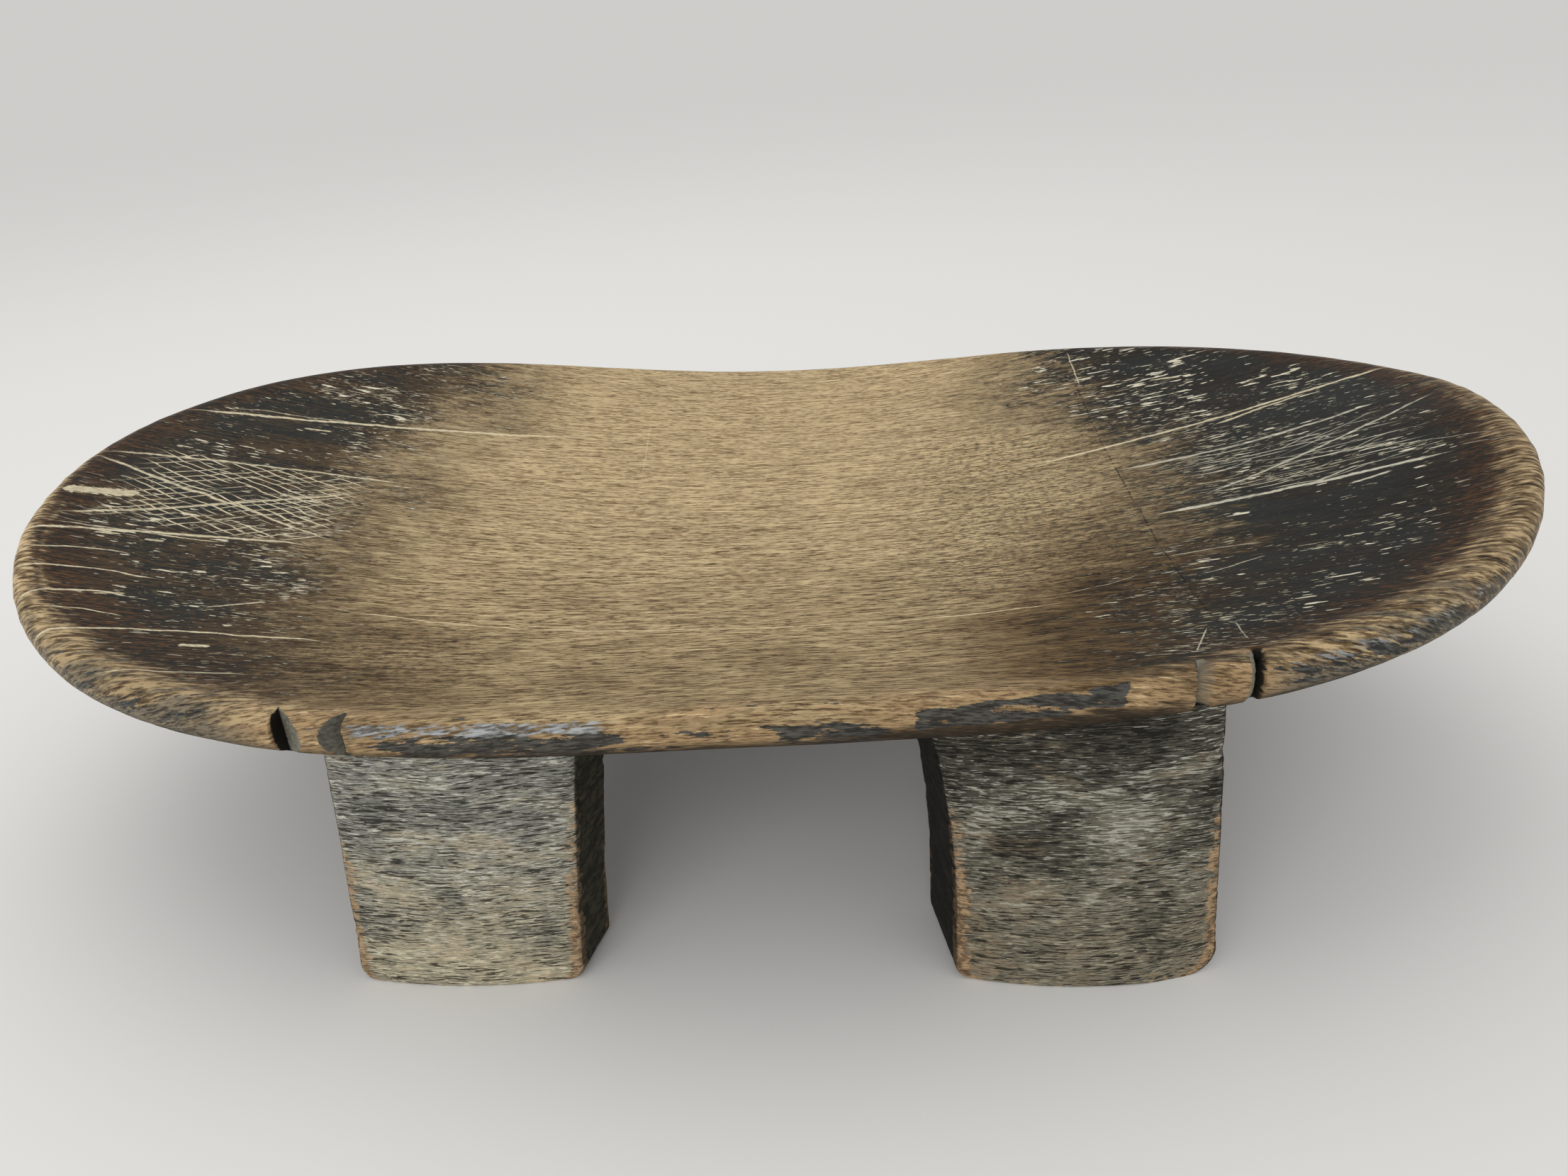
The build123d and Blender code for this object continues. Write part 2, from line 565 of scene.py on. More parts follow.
@dataclass
class Seat:
    """The dished seat board with its rounded, worn rim and the four cuts in its front rim."""

    form: SeatForm
    wear_map: WearMap = WearMap()
    name: str = "seat_board"
    columns: int = 200
    column_steps: int = 4001
    rows: int = 116
    rings: int = 26
    columns_per_cut: int = 22
    cut_reach: float = 0.009
    cut_margin: float = 0.002
    cut_ease: float = 2.6
    cut_lean: float = 0.34
    sharp: float = 38.0
    dent: float = 0.0006
    rim_wear: float = 0.0005
    chip_depth: float = 0.0009
    chip_start: float = 0.15
    nick_depth: float = 0.0016
    nick_width: float = 0.0028
    nicks: tuple[float, ...] = (-0.1695, -0.1434, 0.0471)
    dents: Wander = Wander((0.07, 0.035, 0.07), 11, 2)
    small_dents: Wander = Wander((0.018, 0.007, 0.02), 15)
    waves: Wander = Wander((0.03, 0.03, 0.03), 21, 2)
    ripples: Wander = Wander((0.03, 0.0055, 0.03), 25)
    chips: Wander = Wander((0.016, 0.0035, 0.02), 31, 2)
    past_rim: Ease = Ease(0.006, 0.018)
    chipped_front: Ease = Ease(0.2, 0.6)
    chipped_below: Ease = Ease(-0.004, 0.006)
    turned_under: Ease = Ease(0.55, 0.9)
    cuts: tuple[RimCut, ...] = (
        RimCut(
            (-0.1446, -0.1440, -0.1436, -0.1432, -0.1335),
            (0.0, 0.0056, 0.0057, 0.0056, 0.0),
            (0.0, 0.0, 0.0, 0.7, 0.9),
        ),
        RimCut((-0.1262, -0.1190, -0.1180, -0.1176), (0.0, 0.0058, 0.0060, 0.0), (0.45, 0.45, 0.3, 0.0)),
        RimCut((0.1478, 0.1481, 0.1488, 0.1535), (0.0, 0.0030, 0.0026, 0.0), (0.0, 0.0, 1.2, 1.7), True),
        RimCut(
            (0.1645, 0.1670, 0.1674, 0.1692, 0.1699),
            (0.0, 0.0012, 0.0054, 0.0054, 0.0),
            (1.2, 0.7, 0.0, 0.0, 0.1),
            follows=True,
        ),
    )

    def _columns(self) -> Array:
        """Places of the grid's columns from -1 to 1, closer together at the rim's cuts.

        The spacing is the inverse of a density: even all over, plus a bump around each cut.

        Returns:
            The places.
        """
        fine = np.linspace(-1.0, 1.0, self.column_steps)
        turn = np.arctan2(-np.sqrt(1.0 - fine**2 / 2.0), fine * np.sqrt(0.5))
        points, _ = self.form.outline(turn)
        density = np.full(len(fine), self.columns / 2.0)
        for cut in self.cuts:
            centre = (cut.places[0] + cut.places[-1]) / 2.0
            bump = np.exp(-(((points[:, 0] - centre) / self.cut_reach) ** 4))
            density += self.columns_per_cut * bump / (bump.mean() * (fine[-1] - fine[0]))
        count = np.concatenate([[0.0], np.cumsum((density[1:] + density[:-1]) / 2.0)])
        total = self.columns + self.columns_per_cut * len(self.cuts)
        return np.interp(np.linspace(0.0, count[-1], total + 1), count, fine)

    @staticmethod
    def _disc(u: Array, v: Array) -> tuple[Array, Array]:
        """Square grid drawn into the unit disc.

        Each place is multiplied by the root of 1 less half the other place squared.

        Args:
            u: Places along the grid, from -1 to 1.
            v: Places across it.

        Returns:
            The distance from the middle and the turn.
        """
        x = u * np.sqrt(1.0 - v**2 / 2.0)
        y = v * np.sqrt(1.0 - u**2 / 2.0)
        return np.hypot(x, y), np.arctan2(y, x)

    def _rounding(self, turn: Array, share: float) -> tuple[Array, float]:
        """The rounded rim's section at a share of the way round, from its upper edge to its lower.

        It is a squared half ellipse: in from the outline by the roll's width less the sine's
        power, and up by the cosine's power of half the thickness.

        Args:
            turn: Turns of the ring's places.
            share: Share of the way round the rim.

        Returns:
            Distance inside the outline, and the height factor from 1 to -1.
        """
        power = 2.0 / self.form.roll_fullness
        angle = np.pi * share
        upward = np.sign(cos(angle)) * abs(cos(angle)) ** power
        return self.form.roll_width(turn) * (1.0 - sin(angle) ** power), upward

    def _cut_depth(self, x: Array, front: Array, follows: bool) -> Array:
        """Depth of what is cut out of the rim: one kind of front cuts, and small rear nicks.

        Args:
            x: Places along the seat.
            front: Which of them lie on the front rim.
            follows: Whether to give the cuts that follow the rim's rounding or the upright ones.

        Returns:
            Depth inwards from the outline.
        """
        depth = np.zeros(len(x))
        for cut in self.cuts:
            if cut.follows == follows:
                depth = np.maximum(depth, np.where(front, cut.depth(x), 0.0))
        for nick in () if follows else self.nicks:
            hollow = self.nick_depth * np.clip(1.0 - ((x - nick) / self.nick_width) ** 2, 0.0, 1.0)
            depth = np.maximum(depth, np.where(front, 0.0, hollow))
        return depth

    def _cut_shade_tone(self, x: Array) -> Array:
        """How pale the painted shade and light on the walls of the front cuts is.

        Args:
            x: Places along the seat.

        Returns:
            The tone at each.
        """
        tone = np.zeros(len(x))
        for cut in self.cuts:
            near = (x > cut.places[0] - self.cut_margin) & (x < cut.places[-1] + self.cut_margin)
            tone = np.where(near, cut.tone(x), tone)
        return tone

    def _rim(self, turn: Array, start: Array) -> list[Ring]:
        """Rings of the rounded rim between the two caps, with the cuts taken out.

        An upright cut draws the rim in to its depth, and one that follows takes its depth away
        along the ring's own slant. The cuts at the right lean with the depth of the ring.

        Args:
            turn: Turns of the places round the edge.
            start: The upper cap's edge.

        Returns:
            The rings, from the upper one down.
        """
        edge, normals = self.form.outline(turn)
        x, front = edge[:, 0], edge[:, 1] < 0
        upright = self._cut_depth(x, front, False)
        rings, before, run = [], start, np.zeros(len(turn))
        for k in range(1, self.rings):
            depth, upward = self._rounding(turn, k / self.rings)
            plan = edge - normals * depth[:, None]
            middle, half = self.form.faces(plan[:, 0], plan[:, 1])
            plain = np.column_stack([plan, middle + half * upward])
            run = run + np.linalg.norm(plain - before, axis=1)
            before = plain
            angle = np.pi * k / self.rings
            leaning = x - self.cut_lean * depth * (x > 0.0)
            held = self._cut_depth(leaning, front, True) * min(1.0, self.cut_ease * sin(angle))
            inward = np.maximum(depth, upright) + held * sin(angle)
            taken = edge - normals * inward[:, None]
            points = np.column_stack([taken, plain[:, 2] - held * cos(angle)])
            dug = (front & (upright > depth)) | (held > self.cut_margin / 5.0)
            rings.append(Ring(plain, points, run, dug.astype(float), self._cut_shade_tone(leaning)))
        return rings

    def build(self) -> bpy.types.Object:
        """Make the seat as one closed mesh: two caps on a pole-free grid and the rim's rings.

        The unrolled place goes on past the cap's edge by the run over the rim, and underneath
        by the whole run. The lip is the distance from the rim's outermost line.

        Returns:
            The seat with the attributes that its finish reads.
        """
        u, v = np.meshgrid(self._columns(), np.linspace(-1.0, 1.0, self.rows + 1))
        share, turn = self._disc(u.ravel(), v.ravel())
        outline, normals = self.form.outline(turn)
        inner = outline - normals * self.form.roll_width(turn)[:, None]
        cap = inner * share[:, None]
        count = len(cap)
        grid = np.arange(count).reshape(u.shape)
        edge = np.concatenate([grid[0, :-1], grid[:-1, -1], grid[-1, :0:-1], grid[:0:-1, 0]])
        middle, half = self.form.faces(cap[:, 0], cap[:, 1])
        top = np.column_stack([cap, middle + half])
        low = np.column_stack([cap, middle - half])
        rings = self._rim(turn[edge], top[edge])
        whole_run = rings[-1].run + np.linalg.norm(low[edge] - rings[-1].plain, axis=1)

        points = np.concatenate([top, *[ring.points for ring in rings], low])
        low_grid = grid + count + len(edge) * len(rings)
        index = [count + len(edge) * k + np.arange(len(edge)) for k in range(len(rings))]
        index = [edge, *index, low_grid.ravel()[edge]]
        wrapped = np.array([np.append(ring, ring[0]) for ring in index])
        sides = (grid_faces(grid), grid_faces(low_grid, turned=True), grid_faces(wrapped, turned=True))
        quads = np.concatenate(sides)

        past_edge = [inner[edge] + normals[edge] * ring.run[:, None] for ring in rings]
        past_rim = cap + normals * (float(np.mean(whole_run)) * share)[:, None]
        flat = np.concatenate([cap, *past_edge, past_rim])
        turned = [self.turned_under.of((k + 1) / self.rings) for k in range(len(rings))]
        under = np.concatenate([np.zeros(count), np.repeat(turned, len(edge)), np.ones(count)])
        equator = rings[len(rings) // 2].run
        inside = self.form.inside(cap[:, 0], cap[:, 1])
        nearest = float(np.mean(equator)) + inside - self.form.roll_width(turn)
        lip = np.concatenate([nearest, *[equator - ring.run for ring in rings], -nearest])
        dug = np.concatenate([np.zeros(count), *[ring.dug for ring in rings], np.zeros(count)])
        # Painted shade tone of the cuts' walls: dark where shaded, pale where a facet is lit.
        tone = np.concatenate([np.zeros(count), *[ring.tone for ring in rings], np.zeros(count)])
        turns = self.form.turn(points[:, 0], points[:, 1])
        moved = self._wear(points, turns, flat, lip, under, dug)
        piece = make_mesh(self.name, moved, quads, np.zeros((0, 3), int), self.sharp)
        self.wear_map.store(piece, turns, points, flat, lip, under)
        store(piece, {"dug": dug, "tone": tone})
        return piece

    def _wear(self, points: Array, turn: Array, flat: Array, lip: Array, under: Array, dug: Array) -> Array:
        """Uneven hand work: shallow dents all over, a wavy rim, and chips along the front rim.

        The dents move a point up or down. The rim's waves and chips move it in towards the
        seat's middle, fading within a few millimetres of the rim.

        Args:
            points: Points before their wear.
            turn: Turn of each.
            flat: Unrolled places.
            lip: Distance from the rim's outermost line.
            under: 0 on top, 1 underneath.
            dug: 1 in a cut.

        Returns:
            The moved points.
        """
        _, normals = self.form.outline(turn)
        spread = np.column_stack([flat, under * 0.3])
        dents = self.dent * self.dents.at(spread)
        dents += 0.25 * self.dent * self.small_dents.at(spread)
        near = 1.0 - self.past_rim.of(np.abs(lip))
        front = self.chipped_front.of(-np.sin(turn))
        wavy = self.rim_wear * self.waves.at(spread)
        ripple = 0.6 * self.rim_wear * self.ripples.at(spread) * np.cos(turn) ** 2
        chips = self.chip_depth * np.clip(self.chips.at(spread) - self.chip_start, 0.0, 1.0)
        below = self.chipped_below.of(-lip)
        inward = wavy + ripple + chips * (0.35 + 0.65 * front) * (0.4 + 0.9 * below)
        inward = inward * near * (1.0 - 0.6 * dug)
        moved = points.copy()
        moved[:, :2] -= normals * inward[:, None]
        moved[:, 2] += dents * (1.0 - 0.5 * near)
        return moved

    def dress(self, piece: bpy.types.Object, finish: "SeatFinish") -> None:
        """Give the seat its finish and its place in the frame.

        Args:
            piece: The seat.
            finish: Its finish.
        """
        piece.data.materials.append(SeatLayers(finish).material())
        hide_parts("seat")
        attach(piece, BODY)
        log.info("%s: %d faces", piece.name, len(piece.data.polygons))


@dataclass(frozen=True)
class LegShape:
    """Sizes of the legs under one end of the seat, measured outwards from the seat's middle."""

    outer: float
    outer_lean: float
    inner: float
    flare: float
    flare_start: float
    flare_power: float
    depth: float
    skew: float
    bow: float
    outer_rounding: float
    toe: float
    inner_rounding: float = 0.0055
    flare_height: float = 0.1

    def outer_line(self, z: Array) -> Array:
        """Distance of the outer face at a height: its foot, less the lean's share."""
        return self.outer - self.outer_lean * z

    def inner_line(self, z: Array) -> Array:
        """Distance of the inner face at a height: its foot, less a flare that grows upwards."""
        rise = np.maximum(z - self.flare_start, 0.0) / (self.flare_height - self.flare_start)
        return self.inner - self.flare * rise**self.flare_power


LEG_SHAPES = {
    End.LEFT: LegShape(
        outer=0.1415, outer_lean=0.092, inner=0.0575, flare=0.0105, flare_start=0.0, flare_power=1.4,
        depth=0.027, skew=0.006, bow=0.0034, outer_rounding=0.007, toe=0.001,
    ),
    End.RIGHT: LegShape(
        outer=0.1668, outer_lean=0.068, inner=0.0765, flare=0.0082, flare_start=0.025, flare_power=2.0,
        depth=0.038, skew=0.008, bow=0.0044, outer_rounding=0.011, toe=0.0025,
    ),
}


@dataclass
class Leg:
    """One block leg: a leaning slab with worn corners, its grain raised by wear."""

    end: End
    side: Side
    form: SeatForm
    shape: LegShape
    edge_rounding: float = 0.0022
    corner_steps: int = 7
    sole_rounding: float = 0.0012
    toe_height: float = 0.03
    overlap: float = 0.0015
    overhang: float = 0.002
    spacing: float = 0.00082
    side_spacing: float = 0.0012
    row_height: float = 0.00056
    foot_rows: int = 16
    base_rings: int = 6
    sharp: float = 60.0
    relief: float = 0.00024
    chip: float = 0.0011
    chip_start: float = 0.08
    hollow: float = 0.0005
    bend_height: float = 0.0008
    bend: Wander = Wander((0.022, 0.02, 0.02), 71)
    coarse: Wander = Wander((0.009, 0.004, 0.0016), 41, 2)
    fine: Wander = Wander((0.005, 0.002, 0.0011), 51)
    pits: Wander = Wander((0.004, 0.0035, 0.006), 61, 2)
    hollows: Wander = Wander((0.05, 0.03, 0.035), 81, 2)
    chips: Wander = Wander((0.005, 0.005, 0.0062), 91, 3)
    past_corner: Ease = Ease(0.001, 0.009)
    past_sole: Ease = Ease(0.0005, 0.006)

    @property
    def node(self) -> str:
        """Name of the solid that the leg is built around."""
        return f"leg_{self.side.name.lower()}_{self.end.name.lower()}"

    def _loop(self) -> tuple[Array, Array, Array]:
        """Outline of the foot: a quad with rounded corners, walked round counterclockwise.

        Its first coordinate is the distance from the seat's middle towards the leg's end, and
        its second the distance in from the outside face.

        Returns:
            Points, outward directions, and how near each is to an upright edge, from 0 to 1.
        """
        shape, radius = self.shape, self.edge_rounding
        front = [(shape.inner, 0.0), (shape.outer, 0.0)]
        corners = np.array(front + [(shape.outer, shape.depth), (shape.inner - shape.skew, shape.depth)])
        runs = np.roll(corners, -1, axis=0) - corners
        runs = runs / np.linalg.norm(runs, axis=1, keepdims=True)
        outwards = np.column_stack([runs[:, 1], -runs[:, 0]])
        centres = []
        for k in range(4):
            pair = outwards[k - 1] + outwards[k]
            centres.append(corners[k] - radius * pair / (1.0 + outwards[k - 1] @ outwards[k]))
        points, normals = [], []
        for k in range(4):
            t = np.linspace(0.0, 1.0, self.corner_steps)[:, None]
            arc = (1.0 - t) * outwards[k - 1] + t * outwards[k]
            arc = arc / np.linalg.norm(arc, axis=1, keepdims=True)
            start = centres[k] + radius * outwards[k]
            stop = centres[(k + 1) % 4] + radius * outwards[k]
            pitch = self.spacing if abs(runs[k][0]) > abs(runs[k][1]) else self.side_spacing
            t = np.linspace(0.0, 1.0, int(np.linalg.norm(stop - start) / pitch) + 1)[1:-1, None]
            points += [centres[k] + radius * arc, start + (stop - start) * t]
            normals += [arc, np.repeat(outwards[k][None, :], len(t), axis=0)]
        loop = np.concatenate(points)
        apart = np.linalg.norm(loop[:, None, :] - corners[None, :, :], axis=2)
        return loop, np.concatenate(normals), 1.0 - self.past_corner.of(apart.min(axis=1))

    def _placed(self, loop: Array, z: Array) -> Array:
        """Points of the leg's walls: the foot's outline carried up between its two side lines.

        The share across the leg is kept at each height. Near the floor both sides are drawn in
        by their rounding and the outside face stands out by its toe. That face bows: its corners
        lie deeper than its middle by the bow times the square of the share from the middle.

        Args:
            loop: The foot's outline.
            z: Heights, rows by the outline's points.

        Returns:
            Plan points and heights, as many as z has.
        """
        shape = self.shape
        share = (loop[:, 0] - shape.inner) / (shape.outer - shape.inner)
        outer = shape.outer_line(z) - self._drawn_in(z, shape.outer_rounding)
        inner = shape.inner_line(z) + self._drawn_in(z, shape.inner_rounding)
        depth = loop[:, 1]
        bow = shape.bow * np.clip(2.0 * share - 1.0, -1.0, 1.0) ** 2 * (1.0 - depth / shape.depth)
        sole = self._drawn_in(z, self.sole_rounding) * (1.0 - 2.0 * depth / shape.depth)
        toe = shape.toe * (1.0 - depth / shape.depth) * (1.0 - smooth_step(z, 0.0, self.toe_height))
        low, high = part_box(self.node)
        outside = low.y if self.side is Side.FRONT else high.y
        x = self.end.value * (inner + share * (outer - inner))
        y = outside - self.side.value * (depth + bow + sole - toe)
        return np.stack([x, y, z], axis=-1)

    def _walls(self, loop: Array) -> tuple[Array, float]:
        """Rows of wall points from the floor into the seat.

        Args:
            loop: The foot's outline.

        Returns:
            The points, rows by the outline's points, and the greatest height.
        """
        near_top = self._placed(loop, np.full((1, len(loop)), self.shape.flare_height))[0]
        inside_y = self._inside_y(near_top[:, 0], near_top[:, 1])
        top = self.form.underside(near_top[:, 0], inside_y) + self.overlap
        foot = max(self.shape.outer_rounding, self.shape.inner_rounding)
        low_rows = foot * (1.0 - np.cos(np.linspace(0.0, np.pi / 2.0, self.foot_rows)))
        steps = int((np.max(top) - foot) / self.row_height)
        rows = [np.full(len(loop), z) for z in low_rows]
        rows += [foot + (top - foot) * share for share in np.linspace(0.0, 1.0, steps + 1)[1:]]
        return self._placed(loop, np.array(rows)), float(np.max(top))

    def build(self) -> bpy.types.Object:
        """Make the leg as one closed mesh: walls from the floor into the seat, and two caps.

        Returns:
            The leg with the attributes that its finish reads.
        """
        loop, normals, corner = self._loop()
        count = len(loop)
        turned = self.end.value * self.side.value > 0
        placed, height = self._walls(loop)
        index = np.arange(len(placed) * count).reshape(len(placed), count)
        wall = placed.reshape(-1, 3)
        direction = np.tile(normals * np.array([self.end.value, -self.side.value]), (len(placed), 1))
        corners = np.tile(corner, len(placed))
        raised, moved = self._wear(wall, direction, corners)
        moved[:, 1] = self._inside_y(moved[:, 0], moved[:, 1])
        quads = [grid_faces(np.column_stack([index, index[:, :1]]), turned)]
        points, fans = [moved], []
        size = len(wall)
        for row, facing in ((0, not turned), (len(placed) - 1, turned)):
            border = moved[index[row]]
            middle = border.mean(axis=0)
            previous = index[row]
            for ring in range(1, self.base_rings):
                points.append(middle + (border - middle) * (1.0 - ring / self.base_rings))
                pair = np.array([previous, size + np.arange(count)])
                quads.append(grid_faces(np.column_stack([pair, pair[:, :1]]), facing))
                previous = pair[1]
                size += count
            points.append(middle[None, :])
            following, hub = np.roll(previous, -1), np.full(count, size)
            fans.append(np.column_stack((previous, hub, following) if facing else (previous, following, hub)))
            size += 1
        everything = np.concatenate(points)
        piece = make_mesh(
            f"{self.node}_block", everything, np.concatenate(quads), np.concatenate(fans), self.sharp
        )
        kept = {
            "relief": raised,
            "corner": corners,
            "foot_edge": 1.0 - self.past_sole.of(wall[:, 2]),
            "end_grain": np.abs(direction[:, 0]),
        }
        rest = np.zeros(len(everything) - len(wall))
        store(piece, {name: np.concatenate([values, rest]) for name, values in kept.items()})
        store(piece, {"rise": everything[:, 2] / height})
        return piece

    def _inside_y(self, x: Array, y: Array) -> Array:
        """Depth places drawn in until they lie under the seat by its overhang.

        Args:
            x: Places along the seat.
            y: Places across it.

        Returns:
            The places across, drawn in.
        """
        share = np.clip(np.abs(x) / self.form.half_length, 0.0, 1.0)
        n = np.where(y < 0, self.form.front_fullness, self.form.rear_fullness)
        limit = self.form.half_width * (1.0 - share**n) ** (1.0 / n) - self.overhang
        return np.clip(y, -limit, limit)

    @staticmethod
    def _drawn_in(z: Array, radius: float) -> Array:
        """How far a quarter circle of that radius draws a side in at a height above the floor."""
        left = np.clip(radius - z, 0.0, radius)
        return radius - np.sqrt(radius**2 - left**2)

    def _wear(self, wall: Array, direction: Array, corners: Array) -> tuple[Array, Array]:
        """Raised grain along X, softer pits on the end grain, and chipped corners.

        Args:
            wall: Points of the walls.
            direction: Outward plan direction at each.
            corners: Nearness to an upright corner.

        Returns:
            The grain's relief from -1 to 1, and the moved points.
        """
        bent = wall.copy()
        bent[:, 2] += self.bend_height * self.bend.at(wall)
        long_grain = np.abs(direction[:, 1])
        grain = np.clip(0.6 * self.coarse.at(bent) + 0.6 * self.fine.at(bent), -1.0, 1.0)
        raised = grain * long_grain + 0.6 * self.pits.at(wall) * (1.0 - long_grain)
        chips = 1.3 * np.clip(self.chips.at(wall) - self.chip_start, 0.0, 1.0)
        outward = self.relief * raised + self.hollow * self.hollows.at(wall) - self.chip * chips * corners
        above_floor = np.clip(wall[:, 2] / self.overlap, 0.0, 1.0)
        moved = wall.copy()
        moved[:, :2] += direction * (outward * (0.3 + 0.7 * above_floor))[:, None]
        return raised, moved

    def dress(self, piece: bpy.types.Object, finish: "LegFinish") -> None:
        """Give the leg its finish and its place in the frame.

        Args:
            piece: The leg.
            finish: Its finish.
        """
        piece.data.materials.append(finish.material(f"{self.node}_finish"))
        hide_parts(self.node)
        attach(piece, BODY)
        log.info("%s: %d faces", piece.name, len(piece.data.polygons))


def operator(operation: str, reflected: bool = False) -> Callable[..., "Sock"]:
    """A method of a socket that adds a Math node.

    Args:
        operation: The node's operation.
        reflected: Whether the socket is the second value.

    Returns:
        The method.
    """

    def method(self: "Sock", *other: Value) -> "Sock":
        """Add the node to the socket's graph."""
        return self.graph.math(operation, *((*other, self) if reflected else (self, *other)))

    return method


class Sock:
    """A node socket whose sums, differences, products and shares add their Math nodes."""

    def __init__(self, graph: "Graph", socket: bpy.types.NodeSocket) -> None:
        """Remember the graph that the socket belongs to."""
        self.graph = graph
        self.socket = socket

    __add__, __radd__ = operator("ADD"), operator("ADD", reflected=True)
    __sub__, __rsub__ = operator("SUBTRACT"), operator("SUBTRACT", reflected=True)
    __mul__, __rmul__ = operator("MULTIPLY"), operator("MULTIPLY", reflected=True)
    __truediv__, __abs__ = operator("DIVIDE"), operator("ABSOLUTE")


def swing(noise: Sock, reach: float) -> Sock:
    """A noise about 0 in place of 0.5, times its reach."""
    return (noise - 0.5) * reach


def paint(red: float, green: float, blue: float) -> tuple[float, float, float, float]:
    """Linear colour of screen values from 0 to 255, by the usual screen curve.

    Args:
        red: Red on the screen.
        green: Green on the screen.
        blue: Blue on the screen.

    Returns:
        Linear red, green, blue and a full alpha.
    """
    shares = np.array([red, green, blue]) / 255.0
    linear = np.where(shares <= 0.04045, shares / 12.92, ((shares + 0.055) / 1.055) ** 2.4)
    return (float(linear[0]), float(linear[1]), float(linear[2]), 1.0)


@dataclass(frozen=True)
class Noise:
    """Cloudy noise about 0.5, its blots as large as the cell, in millimetres."""

    cell: Place
    seed: float
    detail: float = 2.0
    rough: float = 0.5


class Graph:
    """The node tree of a material or a world, with one method that makes any node."""

    def __init__(self, owner: bpy.types.Material | bpy.types.World) -> None:
        """Start an empty tree.

        Args:
            owner: What the tree belongs to.
        """
        owner.use_nodes = True
        self.owner = owner
        self.tree = owner.node_tree
        self.tree.nodes.clear()

    def node(
        self, kind: str, settings: dict | None = None, inputs: dict | None = None, output: int | str = 0
    ) -> Sock:
        """Add a node.

        Args:
            kind: The node's type.
            settings: Its own settings, which are set first.
            inputs: Values or links of its sockets, by name or number.
            output: Which output to return.

        Returns:
            The chosen output.
        """
        made = self.tree.nodes.new(kind)
        for key, value in (settings or {}).items():
            setattr(made, key, value)
        for key, value in (inputs or {}).items():
            if isinstance(value, Sock):
                self.tree.links.new(value.socket, made.inputs[key])
            else:
                made.inputs[key].default_value = value
        return Sock(self, made.outputs[output])

    def math(self, operation: str, *values: Value) -> Sock:
        """Add a Math node on one, two or three values."""
        return self.node("ShaderNodeMath", {"operation": operation}, dict(enumerate(values)))

    def attribute(self, name: str) -> Sock:
        """A number kept on the mesh for each vertex."""
        return self.node("ShaderNodeAttribute", {"attribute_name": name}, output=2)

    def vector_attribute(self, name: str) -> Sock:
        """A vector kept on the mesh for each vertex."""
        return self.node("ShaderNodeAttribute", {"attribute_name": name}, output=1)

    def object_place(self) -> Sock:
        """Place on the object, in millimetres."""
        inputs = {0: self.node("ShaderNodeTexCoord", output=3), "Scale": 1.0 / MM}
        return self.node("ShaderNodeVectorMath", {"operation": "SCALE"}, inputs)

    def axis(self, place: Sock, number: int) -> Sock:
        """One axis of a place."""
        return self.node("ShaderNodeSeparateXYZ", None, {0: place}, output=number)

    def line(self, x: Sock, y: Sock, x_share: float, y_share: float, start: float) -> Sock:
        """The first value times its share, plus the second times its share, less a start."""
        return self.math("MULTIPLY_ADD", x, x_share, self.math("MULTIPLY_ADD", y, y_share, -start))

    def noise(self, place: Sock, noise: Noise) -> Sock:
        """A noise over a place, moved by its seed.

        Args:
            place: Where, in millimetres.
            noise: The noise's sizes.

        Returns:
            The noise, about 0.5.
        """
        factor = tuple(1.0 / size for size in noise.cell)
        shift = (noise.seed * 7.31, noise.seed * 3.77, noise.seed * 5.13)
        inputs = {0: place, "Location": shift, "Scale": factor}
        scaled = self.node("ShaderNodeMapping", {"vector_type": "POINT"}, inputs)
        inputs = {"Vector": scaled, "Scale": 1.0, "Detail": noise.detail, "Roughness": noise.rough}
        return self.node("ShaderNodeTexNoise", {"noise_dimensions": "3D"}, inputs)

    def step(self, value: Sock, low: Value, high: Value) -> Sock:
        """Ease from 0 at low to 1 at high."""
        inputs = {"Value": value, "From Min": low, "From Max": high}
        return self.node("ShaderNodeMapRange", {"interpolation_type": "SMOOTHSTEP"}, inputs)

    def rise(self, value: Sock, ease: Ease) -> Sock:
        """From 0 to an ease's strength as the value passes it."""
        share = self.step(value, ease.low, ease.high)
        return share if ease.strength == 1.0 else share * ease.strength

    def fall(self, value: Sock, ease: Ease) -> Sock:
        """From an ease's strength to 0 as the value passes it."""
        share = 1.0 - self.step(value, ease.low, ease.high)
        return share if ease.strength == 1.0 else share * ease.strength

    def remap(self, value: Sock, low: float, high: float, first: float, second: float) -> Sock:
        """Straight from first at low to second at high, and level beyond."""
        inputs = {"Value": value, "From Min": low, "From Max": high, "To Min": first, "To Max": second}
        return self.node("ShaderNodeMapRange", None, inputs)

    def window(self, value: Sock, low: float, high: float, soft: float) -> Sock:
        """1 between low and high, easing to 0 within soft on either side."""
        return self.step(value, low - soft, low + soft) * (1.0 - self.step(value, high - soft, high + soft))

    def most(self, *values: Sock) -> Sock:
        """The largest of several values.

        Args:
            values: Two values or more.

        Returns:
            The largest.
        """
        result = values[0]
        for value in values[1:]:
            result = self.math("MAXIMUM", result, value)
        return result

    def mix(self, factor: Value, first: Sock | Colour, second: Sock | Colour, blend: str = "MIX") -> Sock:
        """Colour between first and second by a factor.

        Args:
            factor: Share of the second.
            first: A socket or a screen colour.
            second: A socket or a screen colour.
            blend: How the second is laid over the first.

        Returns:
            The mixed colour.
        """
        settings = {"data_type": "RGBA", "blend_type": blend, "clamp_factor": True}
        sides = [side if isinstance(side, Sock) else paint(*side) for side in (first, second)]
        return self.node("ShaderNodeMix", settings, {0: factor, 6: sides[0], 7: sides[1]}, output=2)

